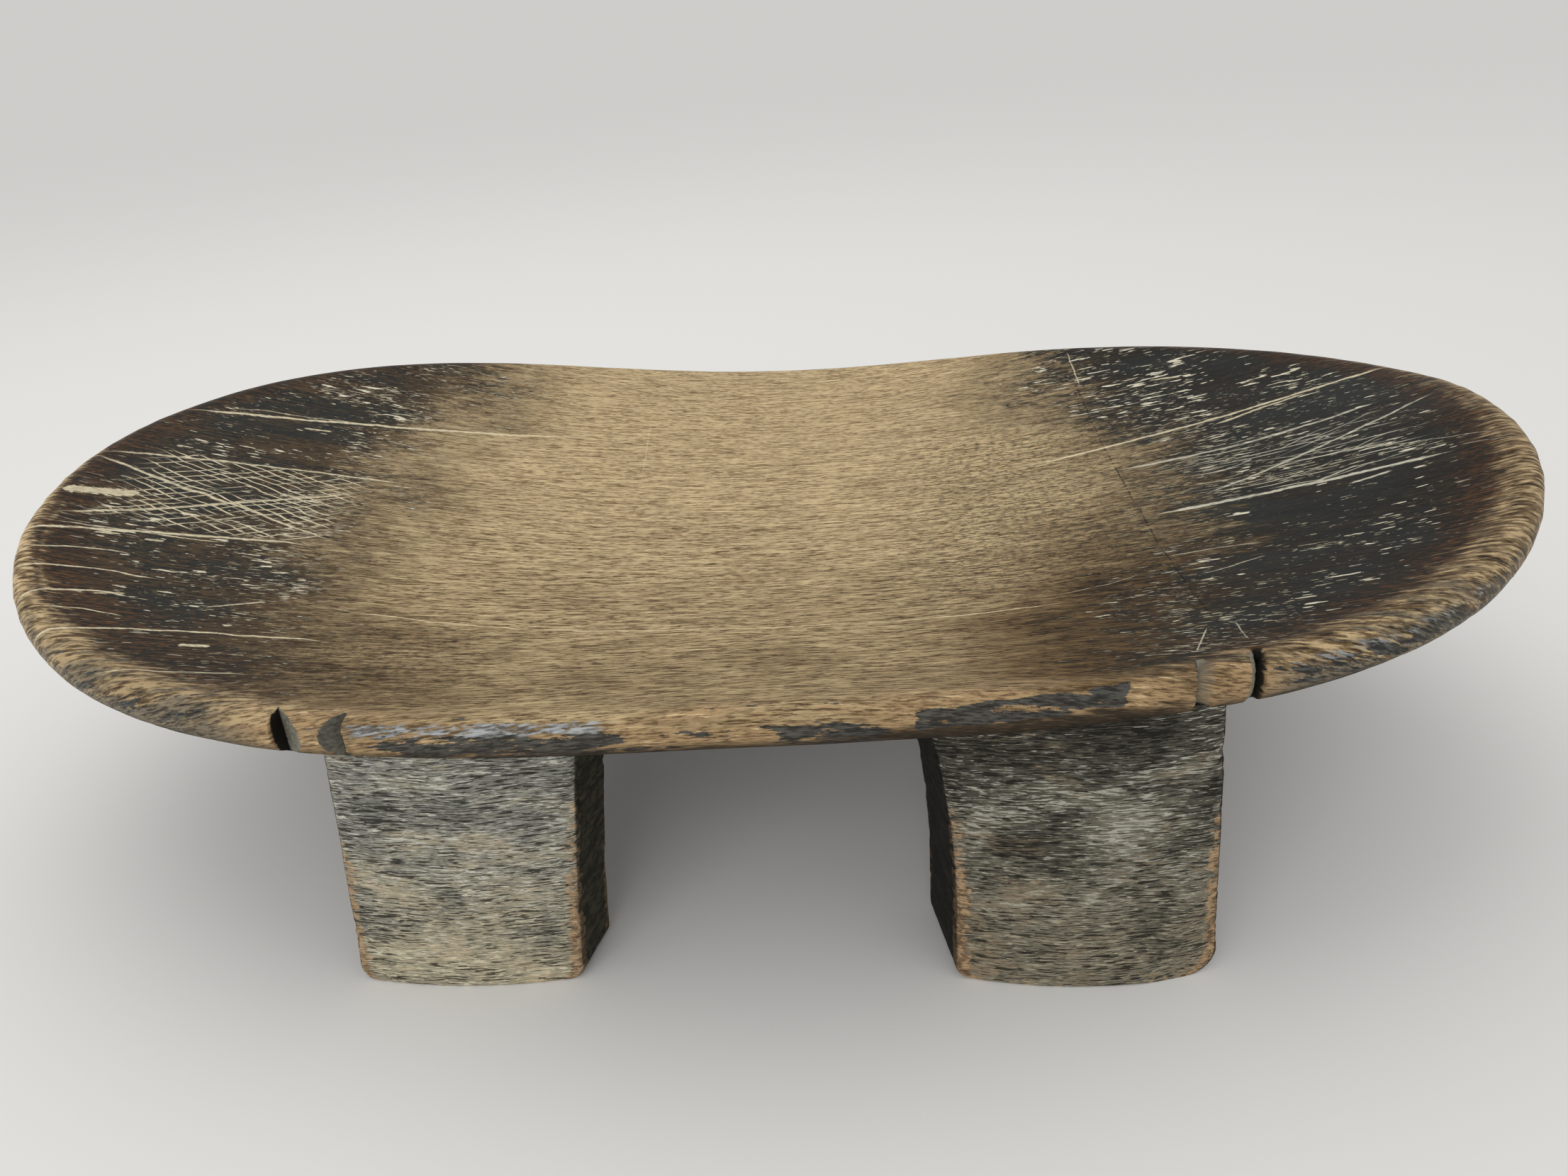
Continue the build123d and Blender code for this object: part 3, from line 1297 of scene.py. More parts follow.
    def tint(self, factor: Value, colour: Sock, by: Colour) -> Sock:
        """A colour darkened through a tint by a factor."""
        return self.mix(factor, colour, by, "MULTIPLY")

    def blend(self, factor: Value, first: Value, second: Value) -> Sock:
        """Number between first and second by a factor."""
        settings = {"data_type": "FLOAT", "clamp_factor": True}
        return self.node("ShaderNodeMix", settings, {0: factor, 2: first, 3: second})

    def close(self, shader: Sock, kind: str = "ShaderNodeOutputMaterial") -> None:
        """Join a shader to the tree's output."""
        self.tree.links.new(shader.socket, self.tree.nodes.new(kind).inputs[0])

    def finish(self, colour: Sock, roughness: Value, height: Sock, specular: float) -> bpy.types.Material:
        """Join colour, roughness and a height in millimetres to the surface.

        Args:
            colour: Base colour.
            roughness: Roughness.
            height: Height of the relief, in millimetres.
            specular: Level of the reflections.

        Returns:
            The finished material.
        """
        bump = self.node("ShaderNodeBump", None, {"Strength": 1.0, "Distance": MM, "Height": height})
        inputs = {"Base Color": colour, "Roughness": roughness, "Normal": bump}
        inputs |= {"IOR": 1.45, "Specular IOR Level": specular}
        self.close(self.node("ShaderNodeBsdfPrincipled", None, inputs))
        return self.owner


@dataclass(frozen=True)
class Stroke:
    """A scratch or knife cut on the seat, in millimetres on its unrolled surface."""

    start: tuple[float, float]
    stop: tuple[float, float]
    width: float
    bow: float = 0.0
    strength: float = 1.0

    def mask(self, graph: Graph, x: Sock, y: Sock, ragged: Sock) -> Sock:
        """How much of the stroke lies at a place, from 0 to 1.

        Along the stroke s runs from -1 to 1, and the arch is 1 less its square. The stroke
        is a straight line moved aside by the bow times the arch. Its width falls off where
        the arch is low, at both ends, and is ragged by a noise.

        Args:
            graph: The node tree.
            x: First coordinate on the unrolled surface.
            y: Second coordinate.
            ragged: Factor of the width, about 1.

        Returns:
            The mask.
        """
        middle = ((self.start[0] + self.stop[0]) / 2.0, (self.start[1] + self.stop[1]) / 2.0)
        half_run = ((self.stop[0] - self.start[0]) / 2.0, (self.stop[1] - self.start[1]) / 2.0)
        half = (half_run[0] ** 2 + half_run[1] ** 2) ** 0.5
        ahead = (half_run[0] / half**2, half_run[1] / half**2)
        across = (-half_run[1] / half, half_run[0] / half)
        s = graph.line(x, y, ahead[0], ahead[1], ahead[0] * middle[0] + ahead[1] * middle[1])
        off = graph.line(x, y, across[0], across[1], across[0] * middle[0] + across[1] * middle[1])
        arch = 1.0 - s * s
        if self.bow:
            off = graph.math("MULTIPLY_ADD", arch, -self.bow, off)
        wide = graph.remap(arch, -0.1, 0.35, -0.2 * self.width, 0.5 * self.width)
        soft = min(self.width, 2.5)
        return graph.remap(wide * ragged - abs(off), -0.12 * soft, 0.2 * soft, 0.0, self.strength)


@dataclass(frozen=True)
class Hatching:
    """A field of like scratches, side by side, within a zone, in millimetres."""

    slope: float
    spacing: float
    width: float
    zone: Zone
    gaps: float
    seed: float
    strength: float = 1.0

    def mask(self, graph: Graph, place: Sock, x: Sock, y: Sock) -> Sock:
        """How much of a scratch lies at a place: near the middle of each repeat across the lines.

        The distance across the lines, shared by the spacing and shifted by a slow noise, repeats
        once a line. A second noise, long along the lines, leaves some out.

        Args:
            graph: The node tree.
            place: The unrolled place.
            x: Its first coordinate, a little warped.
            y: Its second coordinate, a little warped.

        Returns:
            The mask.
        """
        size = (1.0 + self.slope**2) ** 0.5
        sway = graph.noise(place, Noise((45.0, 14.0, 90.0), self.seed, 1.0))
        off = graph.line(x, y, -self.slope / size / self.spacing, 1.0 / size / self.spacing, 0.0)
        off = graph.math("MULTIPLY_ADD", sway, 1.1, off)
        near = abs(graph.math("FRACT", off) - 0.5) * (2.0 * self.spacing)
        run = graph.line(x, y, 1.0 / size, self.slope / size, 0.0)
        cell = graph.node("ShaderNodeCombineXYZ", None, {0: run, 1: graph.math("FLOOR", off) * 10.0})
        faint = graph.noise(cell, Noise((26.0, 3.0, 90.0), self.seed + 3.0))
        line = 1.0 - graph.step(near, self.width * 0.35, self.width * 1.2)
        kept = graph.step(faint, self.gaps, self.gaps + 0.14)
        inside = self.zone.mask(graph, x, y)
        drawn = line * kept * inside
        return drawn if self.strength == 1.0 else drawn * self.strength


STROKES = (
    Stroke((-284.0, 66.0), (-96.0, 91.0), 2.9, 3.6, 1.0),
    Stroke((-268.0, 74.0), (-205.0, 80.0), 1.05, 1.5, 0.6),
    Stroke((-302.0, 17.0), (-165.0, 31.0), 1.93, 5.5, 0.9),
    Stroke((-300.0, 13.0), (-196.0, -19.5), 2.28, 1.0, 0.9),
    Stroke((-292.0, -34.0), (-184.0, 17.0), 2.46, -1.0, 0.85),
    Stroke((-304.0, -50.0), (-190.0, -32.0), 2.46, 4.2, 0.95),
    Stroke((-290.0, -41.0), (-222.0, -38.0), 1.23, 1.0, 0.8),
    Stroke((-298.0, -66.0), (-252.0, -55.0), 1.23, 3.0, 0.85),
    Stroke((-288.0, -75.0), (-234.0, -71.0), 1.32, 3.0, 0.9),
    Stroke((-280.0, -94.0), (-235.0, -86.0), 1.59, 4.0, 0.95),
    Stroke((-262.0, -99.0), (-231.0, -100.0), 1.05, 1.5, 0.8),
    Stroke((-266.0, -116.0), (-150.0, -108.0), 1.76, 5.0, 0.95),
    Stroke((-222.0, -137.5), (-165.0, -136.5), 0.96, 0.5, 0.7),
    Stroke((-300.0, -17.0), (-270.0, -10.0), 9.0, -1.0, 0.8),
    Stroke((-201.0, -117.0), (-189.0, -116.5), 3.16, 0.0, 1.0),
    Stroke((-229.0, 68.0), (-216.0, 69.0), 2.28, 0.0, 0.9),
    Stroke((-250.0, -87.0), (-238.0, -84.0), 1.23, 0.0, 0.8),
    Stroke((-206.0, -88.0), (-186.0, -80.0), 1.4, 0.5, 0.75),
    Stroke((-272.0, -43.5), (-262.0, -42.5), 1.93, 0.0, 0.85),
    Stroke((-252.0, -43.0), (-244.0, -42.5), 2.28, 0.0, 0.85),
    Stroke((-164.0, -80.0), (126.0, -95.0), 1.1, -10.5, 0.95),
    Stroke((-104.0, -5.0), (-79.0, -6.0), 1.15, 0.0, 0.6),
    Stroke((-74.0, -7.0), (-45.0, 2.0), 1.15, -1.0, 0.6),
    Stroke((-63.0, 112.0), (-60.0, 58.0), 1.01, 0.0, 0.45),
    Stroke((118.0, -88.0), (150.0, -78.0), 0.72, -1.0, 0.5),
    Stroke((10.0, 38.0), (40.0, 42.0), 0.86, -1.0, 0.4),
    Stroke((124.0, 40.0), (290.0, 63.0), 2.6, 1.5, 1.0),
    Stroke((208.0, 47.0), (250.0, 56.0), 2.45, 1.0, 0.9),
    Stroke((160.0, 20.0), (270.0, 28.5), 2.6, -2.5, 0.8),
    Stroke((188.0, -18.0), (290.0, 22.0), 2.0, -1.0, 0.82),
    Stroke((166.0, -28.5), (276.0, -31.5), 3.0, 2.5, 0.95),
    Stroke((224.0, -28.0), (246.0, -22.0), 1.15, 0.0, 0.85),
    Stroke((238.0, -35.5), (254.0, -33.5), 1.73, 0.0, 0.9),
    Stroke((205.0, 4.0), (296.0, -27.0), 0.72, 2.0, 0.6),
    Stroke((280.0, -28.5), (298.0, -33.0), 0.65, 0.0, 0.5),
    Stroke((228.0, 7.0), (265.0, 20.5), 0.86, -1.0, 0.6),
    Stroke((224.0, -27.5), (264.0, -22.0), 0.72, 0.0, 0.6),
    Stroke((196.0, -15.5), (255.0, -17.0), 0.79, 1.0, 0.6),
    Stroke((210.0, -4.0), (264.0, -12.0), 0.79, 0.0, 0.6),
    Stroke((162.0, -66.0), (196.0, -66.5), 0.94, 1.0, 0.7),
    Stroke((170.0, -84.5), (194.0, -78.5), 0.79, 0.0, 0.7),
    Stroke((159.5, -131.5), (151.0, -151.0), 0.79, 0.0, 0.8),
    Stroke((169.0, -129.0), (169.0, -144.0), 0.65, 0.0, 0.6),
    Stroke((192.0, 106.5), (206.0, 103.0), 2.3, 0.0, 0.8),
    Stroke((158.0, 152.0), (159.0, 116.0), 1.08, 0.0, 0.7),
)
LEFT_HATCHED = Zone((-277.0, -186.0, 9.0), (-31.0, 29.0, 2.0))
HATCHINGS = (
    Hatching(-0.385, 3.7, 0.74, LEFT_HATCHED, 0.38, 31.0),
    Hatching(0.53, 4.5, 0.74, LEFT_HATCHED, 0.4, 35.0, 0.85),
    Hatching(-0.06, 3.0, 0.6, Zone((188.0, 268.0, 9.0), (-27.0, 22.0, 2.0)), 0.46, 41.0),
    Hatching(0.35, 6.0, 0.6, Zone((196.0, 262.0, 9.0), (-20.0, 20.0, 2.0)), 0.46, 45.0, 0.75),
)


@dataclass(frozen=True)
class SeatFinish:
    """Worn hardwood: golden and bare in the middle, black polish at the ends, a rubbed rim."""

    dark_fibre: Colour = (128, 104, 70)
    light_fibre: Colour = (199, 176, 135)
    cream_fibre: Colour = (224, 202, 156)
    pore: Colour = (82, 62, 38)
    brown_tint: Colour = (130, 113, 90)
    soot_tint: Colour = (88, 92, 100)
    smoky_tint: Colour = (150, 149, 150)
    polish: Colour = (13, 13, 11)
    cool_polish: Colour = (28, 32, 30)
    polish_fibre: Colour = (84, 64, 39)
    fleck: Colour = (168, 159, 134)
    pale_fleck: Colour = (214, 206, 182)
    rust: Colour = (24, 14, 6)
    rust_light: Colour = (112, 71, 33)
    rim_dark: Colour = (46, 36, 25)
    rim_middle: Colour = (122, 99, 68)
    rim_light: Colour = (216, 190, 145)
    rim_dulling: Colour = (178, 174, 170)
    raw_dark: Colour = (92, 72, 49)
    raw_light: Colour = (174, 145, 106)
    raw_cream: Colour = (210, 182, 140)
    grey_raw_dark: Colour = (46, 40, 32)
    grey_raw_light: Colour = (128, 117, 98)
    low_brown: Colour = (40, 34, 27)
    black_patch: Colour = (38, 39, 38)
    grey_patch: Colour = (80, 81, 78)
    # Painted highlight on the front rim's polish.
    painted_highlight: Colour = (176, 180, 182)
    cut_line: Colour = (214, 202, 170)
    cut_line_dim: Colour = (218, 198, 158)
    cut_line_grey: Colour = (200, 195, 174)
    # Cut walls: painted shade in the dark colour, a painted lit facet in the pale one.
    cut_painted_shade: Colour = (20, 18, 14)
    cut_painted_lit_facet: Colour = (124, 121, 108)
    cracked: Colour = (34, 28, 21)
    underside: Colour = (66, 54, 41)
    underside_dark: Colour = (34, 29, 23)

    sheen_roughness: float = 0.45
    bare_roughness: float = 0.6
    rim_roughness: float = 0.5
    raw_roughness: float = 0.72
    specular: float = 0.16

    fibre: Noise = Noise((24.0, 1.0, 60.0), 1.0, 4.0, 0.62)
    grain: Noise = Noise((3.8, 0.66, 60.0), 2.0, 3.0, 0.62)
    cloud: Noise = Noise((60.0, 26.0, 90.0), 3.0)
    mottle: Noise = Noise((9.0, 2.4, 60.0), 4.0, 4.0, 0.66)
    hairline: Noise = Noise((12.0, 0.6, 60.0), 18.0, 2.0, 0.6)
    dash: Noise = Noise((6.0, 0.6, 60.0), 19.0, 2.0, 0.6)
    figure: Noise = Noise((3.4, 1.9, 60.0), 23.0, 3.0, 0.68)
    cool: Noise = Noise((50.0, 20.0, 90.0), 11.0)
    field: Noise = Noise((34.0, 13.0, 90.0), 12.0)
    speck: Noise = Noise((4.6, 0.8, 60.0), 13.0)
    chip: Noise = Noise((11.0, 2.0, 60.0), 15.0)
    streak: Noise = Noise((10.0, 1.4, 60.0), 14.0, 3.0, 0.64)
    patchy: Noise = Noise((34.0, 5.0, 90.0), 20.0, 4.0, 0.62)
    torn: Noise = Noise((20.0, 4.0, 90.0), 16.0, 6.0, 0.68)
    pits: Noise = Noise((3.0, 1.2, 1.2), 17.0, 3.0, 0.65)
    swell: Noise = Noise((30.0, 9.0, 60.0), 9.0, 1.0)
    ragged: Noise = Noise((3.2, 0.8, 60.0), 21.0, 3.0, 0.65)
    line_sway: Noise = Noise((14.0, 9.0, 90.0), 22.0, 1.0)
    crack_sway: Noise = Noise((9.0, 14.0, 60.0), 51.0)

    smoke: Ease = Ease(-1.2, 0.6, 0.7)
    patina: Ease = Ease(-0.05, 0.6)
    light_wood: Ease = Ease(0.42, 0.55)
    cream_wood: Ease = Ease(0.57, 0.66, 0.7)
    pored: Ease = Ease(0.33, 0.4, 0.6)
    dashed: Ease = Ease(0.405, 0.44)
    hairlined: Ease = Ease(0.56, 0.59)
    browned: Ease = Ease(0.0, 1.25, 0.95)
    sooted: Ease = Ease(0.6, 1.1, 0.8)
    figured: Ease = Ease(0.48, 0.6)
    cooled: Ease = Ease(0.35, 0.7)
    brown_polish: Ease = Ease(0.49, 0.6)
    dusted: Ease = Ease(0.635, 0.675, 0.85)
    chipped: Ease = Ease(0.665, 0.685)
    at_ends: Ease = Ease(-20.0, 25.0)
    rusty: Ease = Ease(0.47, 0.66)
    woven_dark: Ease = Ease(0.4, 0.47)
    woven_light: Ease = Ease(0.47, 0.58)
    rubbed: Ease = Ease(0.6, 1.1)
    raw_grain: Ease = Ease(0.4, 0.56)
    raw_streak: Ease = Ease(0.58, 0.68)
    raw_front: Ease = Ease(0.1, 0.7)
    low_rim: Ease = Ease(-4.0, 0.0)
    low_streak: Ease = Ease(0.5, 0.62)
    kept_polish: Ease = Ease(0.635, 0.655)
    patch_grain: Ease = Ease(0.42, 0.6)
    painted_shine: Ease = Ease(0.56, 0.62)
    near_rim: Ease = Ease(0.7, 1.1)
    # Painted shade under the rim's edge.
    shade_under_rim: Ease = Ease(-16.0, -6.0, 0.7)
    shade_under_grain: Ease = Ease(0.3, 0.6)
    line_ends: Ease = Ease(-60.0, 20.0)
    hidden_grain: Ease = Ease(0.42, 0.6)
    dug: Ease = Ease(0.15, 0.5)
    wood_in_cut: Ease = Ease(0.9, 1.6)

    low_span: Span = (40.0, 148.0, 8.0)
    torn_bands: tuple[Zone, ...] = (
        Zone((-106.0, -28.0, 8.0), (-12.0, 2.5, 1.5)),
        Zone((-28.0, -6.0, 5.0), (-14.0, -5.0, 1.5), 0.9),
        Zone((-6.0, 20.0, 6.0), (-7.0, 3.0, 2.0), 0.5),
        Zone((20.0, 52.0, 8.0), (-9.0, 1.0, 2.0)),
        Zone((63.0, 127.0, 2.0), (-4.0, 3.6, 1.6), 1.2, 0.05, 63.0),
        Zone((176.0, 290.0, 14.0), (-5.0, 5.0, 2.5), 0.8),
        Zone((-290.0, -165.0, 14.0), (-6.0, 9.0, 3.0), 0.36),
    )
    # Bands of the painted highlight along the front rim.
    painted_highlight_bands: tuple[Zone, ...] = (
        Zone((-118.0, -30.0, 6.0), (1.4, 6.0, 1.0)),
        Zone((-142.0, -126.0, 5.0), (2.0, 5.0, 1.2), 0.8),
        Zone((180.0, 262.0, 16.0), (2.0, 6.0, 1.5), 0.7),
    )

    crack_place: float = 160.5
    crack_slope: float = 0.030
    crack_edge: Ease = Ease(0.05, 0.42)
    crack_span: Span = (-142.0, 118.0, 6.0)
    crack_gaps: Ease = Ease(0.42, 0.54)
    knot_edge: Ease = Ease(0.1, 1.0, 0.6)
    arc_edge: Ease = Ease(0.36, 0.5)
    arc_gaps: Ease = Ease(0.44, 0.6)
    arc_zone: Zone = Zone((70.0, 150.0, 14.0), (-30.0, 12.0, 9.0))


class SeatLayers:
    """The seat's finish as nodes, layer on layer, from the bare wood up to the scratches."""

    def __init__(self, look: SeatFinish) -> None:
        """Read what every layer needs: the unrolled place, the distances and the wood's noises.

        Args:
            look: Colours and levels.
        """
        self.look = look
        self.graph = Graph(bpy.data.materials.new("seat_wood_finish"))
        graph = self.graph
        self.place = graph.vector_attribute("flat")
        self.x, self.y = graph.axis(self.place, 0), graph.axis(self.place, 1)
        names = ("ends", "lip", "lip_share", "under", "dug", "front", "rear")
        kept = [graph.attribute(name) for name in names]
        self.ends, self.lip, self.share, self.under, self.dug, self.front, self.rear = kept
        self.fibre = graph.noise(self.place, look.fibre)
        self.grain = graph.noise(self.place, look.grain)
        self.cloud = graph.noise(self.place, look.cloud)
        self.mottle = graph.noise(self.place, look.mottle)

    def material(self) -> bpy.types.Material:
        """Lay the layers over each other.

        Returns:
            The seat's material.
        """
        graph, look, grain, mottle = self.graph, self.look, self.grain, self.mottle
        depth = self._depth()
        smoke = graph.step(depth, look.smoke.low, look.smoke.high)
        patina = graph.rise(depth, look.patina)
        golden = self._golden()
        golden = graph.tint(smoke * look.smoke.strength, golden, look.smoky_tint)
        colour = graph.mix(patina, golden, self._polish())
        colour, rubbed = self._rim(colour)
        lines = self._lines()
        line_colour = graph.rise(self.ends + swing(mottle, 60.0), look.line_ends)
        line_colour = graph.mix(line_colour, look.cut_line_dim, look.cut_line)
        line_colour = graph.mix(graph.attribute("grey_lines"), line_colour, look.cut_line_grey)
        colour = graph.mix(lines, colour, line_colour)
        crack = self._crack()
        colour = graph.mix(crack * 0.75, colour, look.cracked)
        hidden = graph.rise(mottle * 0.5 + grain * 0.5, look.hidden_grain)
        hidden = graph.mix(hidden, look.underside_dark, look.underside)
        colour = graph.mix(self.under, colour, hidden)
        # The cuts' walls carry painted shade where the tone is low and a painted lit facet where it is high;
        # past a tone of 0.9 the wood shows again.
        tone = graph.attribute("tone")
        pits = graph.noise(graph.object_place(), look.pits)
        wall = graph.mix(tone + swing(pits, 2.6) * tone, look.cut_painted_shade, look.cut_painted_lit_facet)
        shown = graph.rise(self.dug, look.dug) * (1.0 - graph.rise(tone, look.wood_in_cut) * 0.75)
        colour = graph.mix(shown, colour, wall)

        roughness = graph.blend(patina, look.bare_roughness, look.sheen_roughness)
        roughness = graph.blend(rubbed, roughness, look.rim_roughness)
        bare = graph.most(lines, self.under)
        roughness = graph.blend(bare, roughness + swing(grain, 0.25), look.raw_roughness)
        height = swing(self.fibre, 0.16) + swing(grain, 0.2) + swing(mottle, 0.2) - crack * 0.4
        height = height + swing(graph.noise(self.place, look.swell), 0.4)
        height = height + (mottle - 0.5) * rubbed * 0.5
        return graph.finish(colour, roughness, height, look.specular)

    def _depth(self) -> Sock:
        """How far past the sat-on zone a place lies, its border broken by the grain."""
        depth = self.ends / 42.0 + swing(self.mottle, 2.6) + swing(self.grain, 2.6) + swing(self.fibre, 2.0)
        return depth + swing(self.cloud, 1.6) + self.graph.attribute("smutted")

    def _golden(self) -> Sock:
        """Bare sat-on wood: light and dark fibres, browner towards the front and the ends.

        Returns:
            Its colour.
        """
        graph, look, grain, cloud, mottle = self.graph, self.look, self.grain, self.cloud, self.mottle
        streak = self.fibre * 0.5 + grain * 0.5
        golden = graph.mix(graph.rise(streak, look.light_wood), look.dark_fibre, look.light_fibre)
        golden = graph.mix(graph.rise(streak, look.cream_wood), golden, look.cream_fibre)
        forward = 0.47 + 0.5 * graph.attribute("forward")
        hairline = graph.noise(self.place, look.hairline)
        dash = graph.noise(self.place, look.dash)
        golden = graph.mix(graph.fall(grain, look.pored), golden, look.pore)
        golden = graph.mix(graph.fall(dash, look.dashed) * forward, golden, look.pore)
        golden = graph.mix(graph.rise(hairline, look.hairlined) * forward, golden, look.cream_fibre)
        brown = graph.attribute("browned") + swing(cloud, 0.7) + swing(mottle, 0.6)
        golden = graph.tint(graph.rise(brown, look.browned), golden, look.brown_tint)
        soot = graph.attribute("sooty") - 0.05 + swing(mottle, 2.4) + swing(grain, 1.8) + swing(cloud, 1.4)
        golden = graph.tint(graph.rise(soot, look.sooted), golden, look.soot_tint)
        figure = graph.noise(self.place, look.figure)
        figured = graph.rise(figure, look.figured) * graph.attribute("figured")
        return graph.tint(figured * 0.6, golden, look.soot_tint)

    def _polish(self) -> Sock:
        """Black polish, cooler in places, with brown fibres and pale dust in short pores.

        Returns:
            Its colour.
        """
        graph, look, place = self.graph, self.look, self.place
        cool = graph.noise(place, look.cool)
        polish = graph.rise(cool + swing(self.grain, 0.5), look.cooled)
        polish = graph.mix(polish, look.polish, look.cool_polish)
        leftward = graph.attribute("leftward")
        brown = self.fibre * 0.5 + self.grain * 0.5 - swing(cool, 0.3) + leftward * 0.035
        brown = graph.rise(brown, look.brown_polish)
        polish = graph.mix(brown * (0.27 + 0.51 * leftward), polish, look.polish_fibre)
        field = graph.noise(place, look.field)
        speck = graph.noise(place, look.speck)
        chip = graph.noise(place, look.chip)
        density = swing(field, 0.35) + graph.attribute("dusty")
        polish = graph.mix(graph.rise(speck + density, look.dusted), polish, look.fleck)
        chips = graph.rise(chip + swing(field, 0.3) + graph.attribute("flaked"), look.chipped)
        return graph.mix(chips, polish, look.pale_fleck)

    def _rim(self, colour: Sock) -> tuple[Sock, Sock]:
        """Rusty halo inside the rim, the pale rubbed rim itself, torn polish on its front, and painted shade
        on the rim's rolled-under lower edge.

        Args:
            colour: The seat's colour so far.

        Returns:
            The colour with the rim's, and how rubbed each place is.
        """
        graph, look, grain, lip = self.graph, self.look, self.grain, self.lip
        at_ends = graph.rise(self.ends, look.at_ends)
        edge = self.share + swing(self.mottle, 1.5) + swing(self.fibre, 1.3)
        halo_reach = 3.0 - graph.attribute("rightward")
        halo = (1.0 - graph.step(edge, 1.2, halo_reach)) * at_ends * (1.0 - 0.35 * self.front)
        rust = graph.mix(graph.rise(self.fibre * 0.5 + grain * 0.5, look.rusty), look.rust, look.rust_light)
        colour = graph.mix(halo * 0.85, colour, rust)
        streak = graph.noise(self.place, look.streak)
        woven = streak * 0.55 + grain * 0.2 + self.mottle * 0.25 + 0.03 * graph.attribute("leftward")
        pale = graph.mix(graph.rise(woven, look.woven_dark), look.rim_dark, look.rim_middle)
        pale = graph.mix(graph.rise(woven, look.woven_light), pale, look.rim_light)
        pale = graph.tint(graph.attribute("dulled"), pale, look.rim_dulling)
        rubbed = graph.fall(edge, look.rubbed)
        less = 1.0 - 0.5 * self.rear - 0.75 * graph.attribute("mid_front")
        colour = graph.mix(rubbed * less, colour, pale)
        raw, raw_dark = self._raw(streak)
        patchy = graph.noise(self.place, look.patchy)
        on_front = graph.fall(self.share + swing(patchy, 4.4) + swing(grain, 1.6), look.raw_front)
        colour = graph.mix(on_front * self.front * 0.92, colour, raw)
        low = graph.window(self.x, *look.low_span) * graph.fall(lip + swing(patchy, 16.0), look.low_rim)
        brown = graph.mix(graph.rise(streak * 0.6 + grain * 0.4, look.low_streak), look.low_brown, raw_dark)
        colour = graph.mix(low * 0.92 * self.front, colour, brown)
        kept, black = self._torn(streak, patchy)
        nearby = graph.fall(self.share, look.near_rim) * graph.most(self.front, 0.2 * at_ends)
        colour = graph.mix(kept * nearby * 0.95, colour, black)
        # Painted shade: the rim's rolled-under lower edge is darkened to the rim's dark colour, broken by the
        # grain.
        below = graph.fall(lip, look.shade_under_rim)
        below = below * graph.rise(grain + (self.mottle - 0.5), look.shade_under_grain)
        return graph.mix(below, colour, look.rim_dark), rubbed

    def _raw(self, streak: Sock) -> tuple[Sock, Sock]:
        """Raw wood of the front rim, grey past the legs and golden between them.

        Args:
            streak: The rim's streaks.

        Returns:
            Its colour, and that of its darkest grain.
        """
        graph, look = self.graph, self.look
        greyed = graph.attribute("greyed")
        dark = graph.mix(greyed, look.raw_dark, look.grey_raw_dark)
        light = graph.mix(greyed, look.raw_light, look.grey_raw_light)
        woven = self.fibre * 0.35 + self.mottle * 0.15 + self.grain * 0.5
        raw = graph.mix(graph.rise(woven, look.raw_grain), dark, light)
        return graph.mix(graph.rise(streak, look.raw_streak) * (1.0 - greyed), raw, look.raw_cream), dark

    def _torn(self, streak: Sock, patchy: Sock) -> tuple[Sock, Sock]:
        """What is left of the black polish on the front rim, with a painted highlight along its upper edge.

        Args:
            streak: The rim's streaks.
            patchy: Slow noise.

        Returns:
            Where the polish is kept, and its colour with the painted highlight.
        """
        graph, look, x, lip, grain = self.graph, self.look, self.x, self.lip, self.grain
        torn = graph.noise(self.place, look.torn)
        bands = graph.most(*(band.mask(graph, x, lip) for band in look.torn_bands))
        kept = graph.rise(torn + bands * 0.21, look.kept_polish)
        black = graph.rise(streak * 0.4 + grain * 0.6, look.patch_grain)
        black = graph.mix(black, look.black_patch, look.grey_patch)
        # Painted highlight: pale grey-blue glints laid on the polish along the rim's upper edge.
        painted_highlight_band = graph.most(*(band.mask(graph, x, lip) for band in look.painted_highlight_bands))
        painted_shine = graph.rise(torn * 0.4 + streak * 0.3 + grain * 0.3 + painted_highlight_band * 0.12, look.painted_shine) * painted_highlight_band
        kept = graph.most(kept, painted_shine)
        painted_glint = graph.rise(grain * 0.5 + patchy * 0.5, look.patch_grain)
        painted_glint = graph.mix(painted_glint, look.grey_patch, look.painted_highlight)
        return kept, graph.mix(painted_shine * 0.9, black, painted_glint)

    def _lines(self) -> Sock:
        """All pale scratches: single strokes, the crossed hatching and the fan at the right.

        The largest so far is kept after each stroke, which needs the least of the shader's room.

        Returns:
            How much of a scratch lies at a place.
        """
        graph = self.graph
        ragged = 1.5 * graph.noise(self.place, self.look.ragged) - 0.15
        sway = graph.noise(self.place, self.look.line_sway) - 0.5
        x = graph.axis(self.place, 0) + sway * 1.5
        y = graph.axis(self.place, 1) + sway * 2.4
        drawn = STROKES[0].mask(graph, x, y, ragged)
        for stroke in STROKES[1:]:
            drawn = graph.most(drawn, stroke.mask(graph, x, y, ragged))
        for hatching in HATCHINGS:
            drawn = graph.most(drawn, hatching.mask(graph, self.place, x, y))
        return graph.math("MINIMUM", drawn * (0.4 + ragged) * (0.55 + 0.9 * self.grain), 1.0)

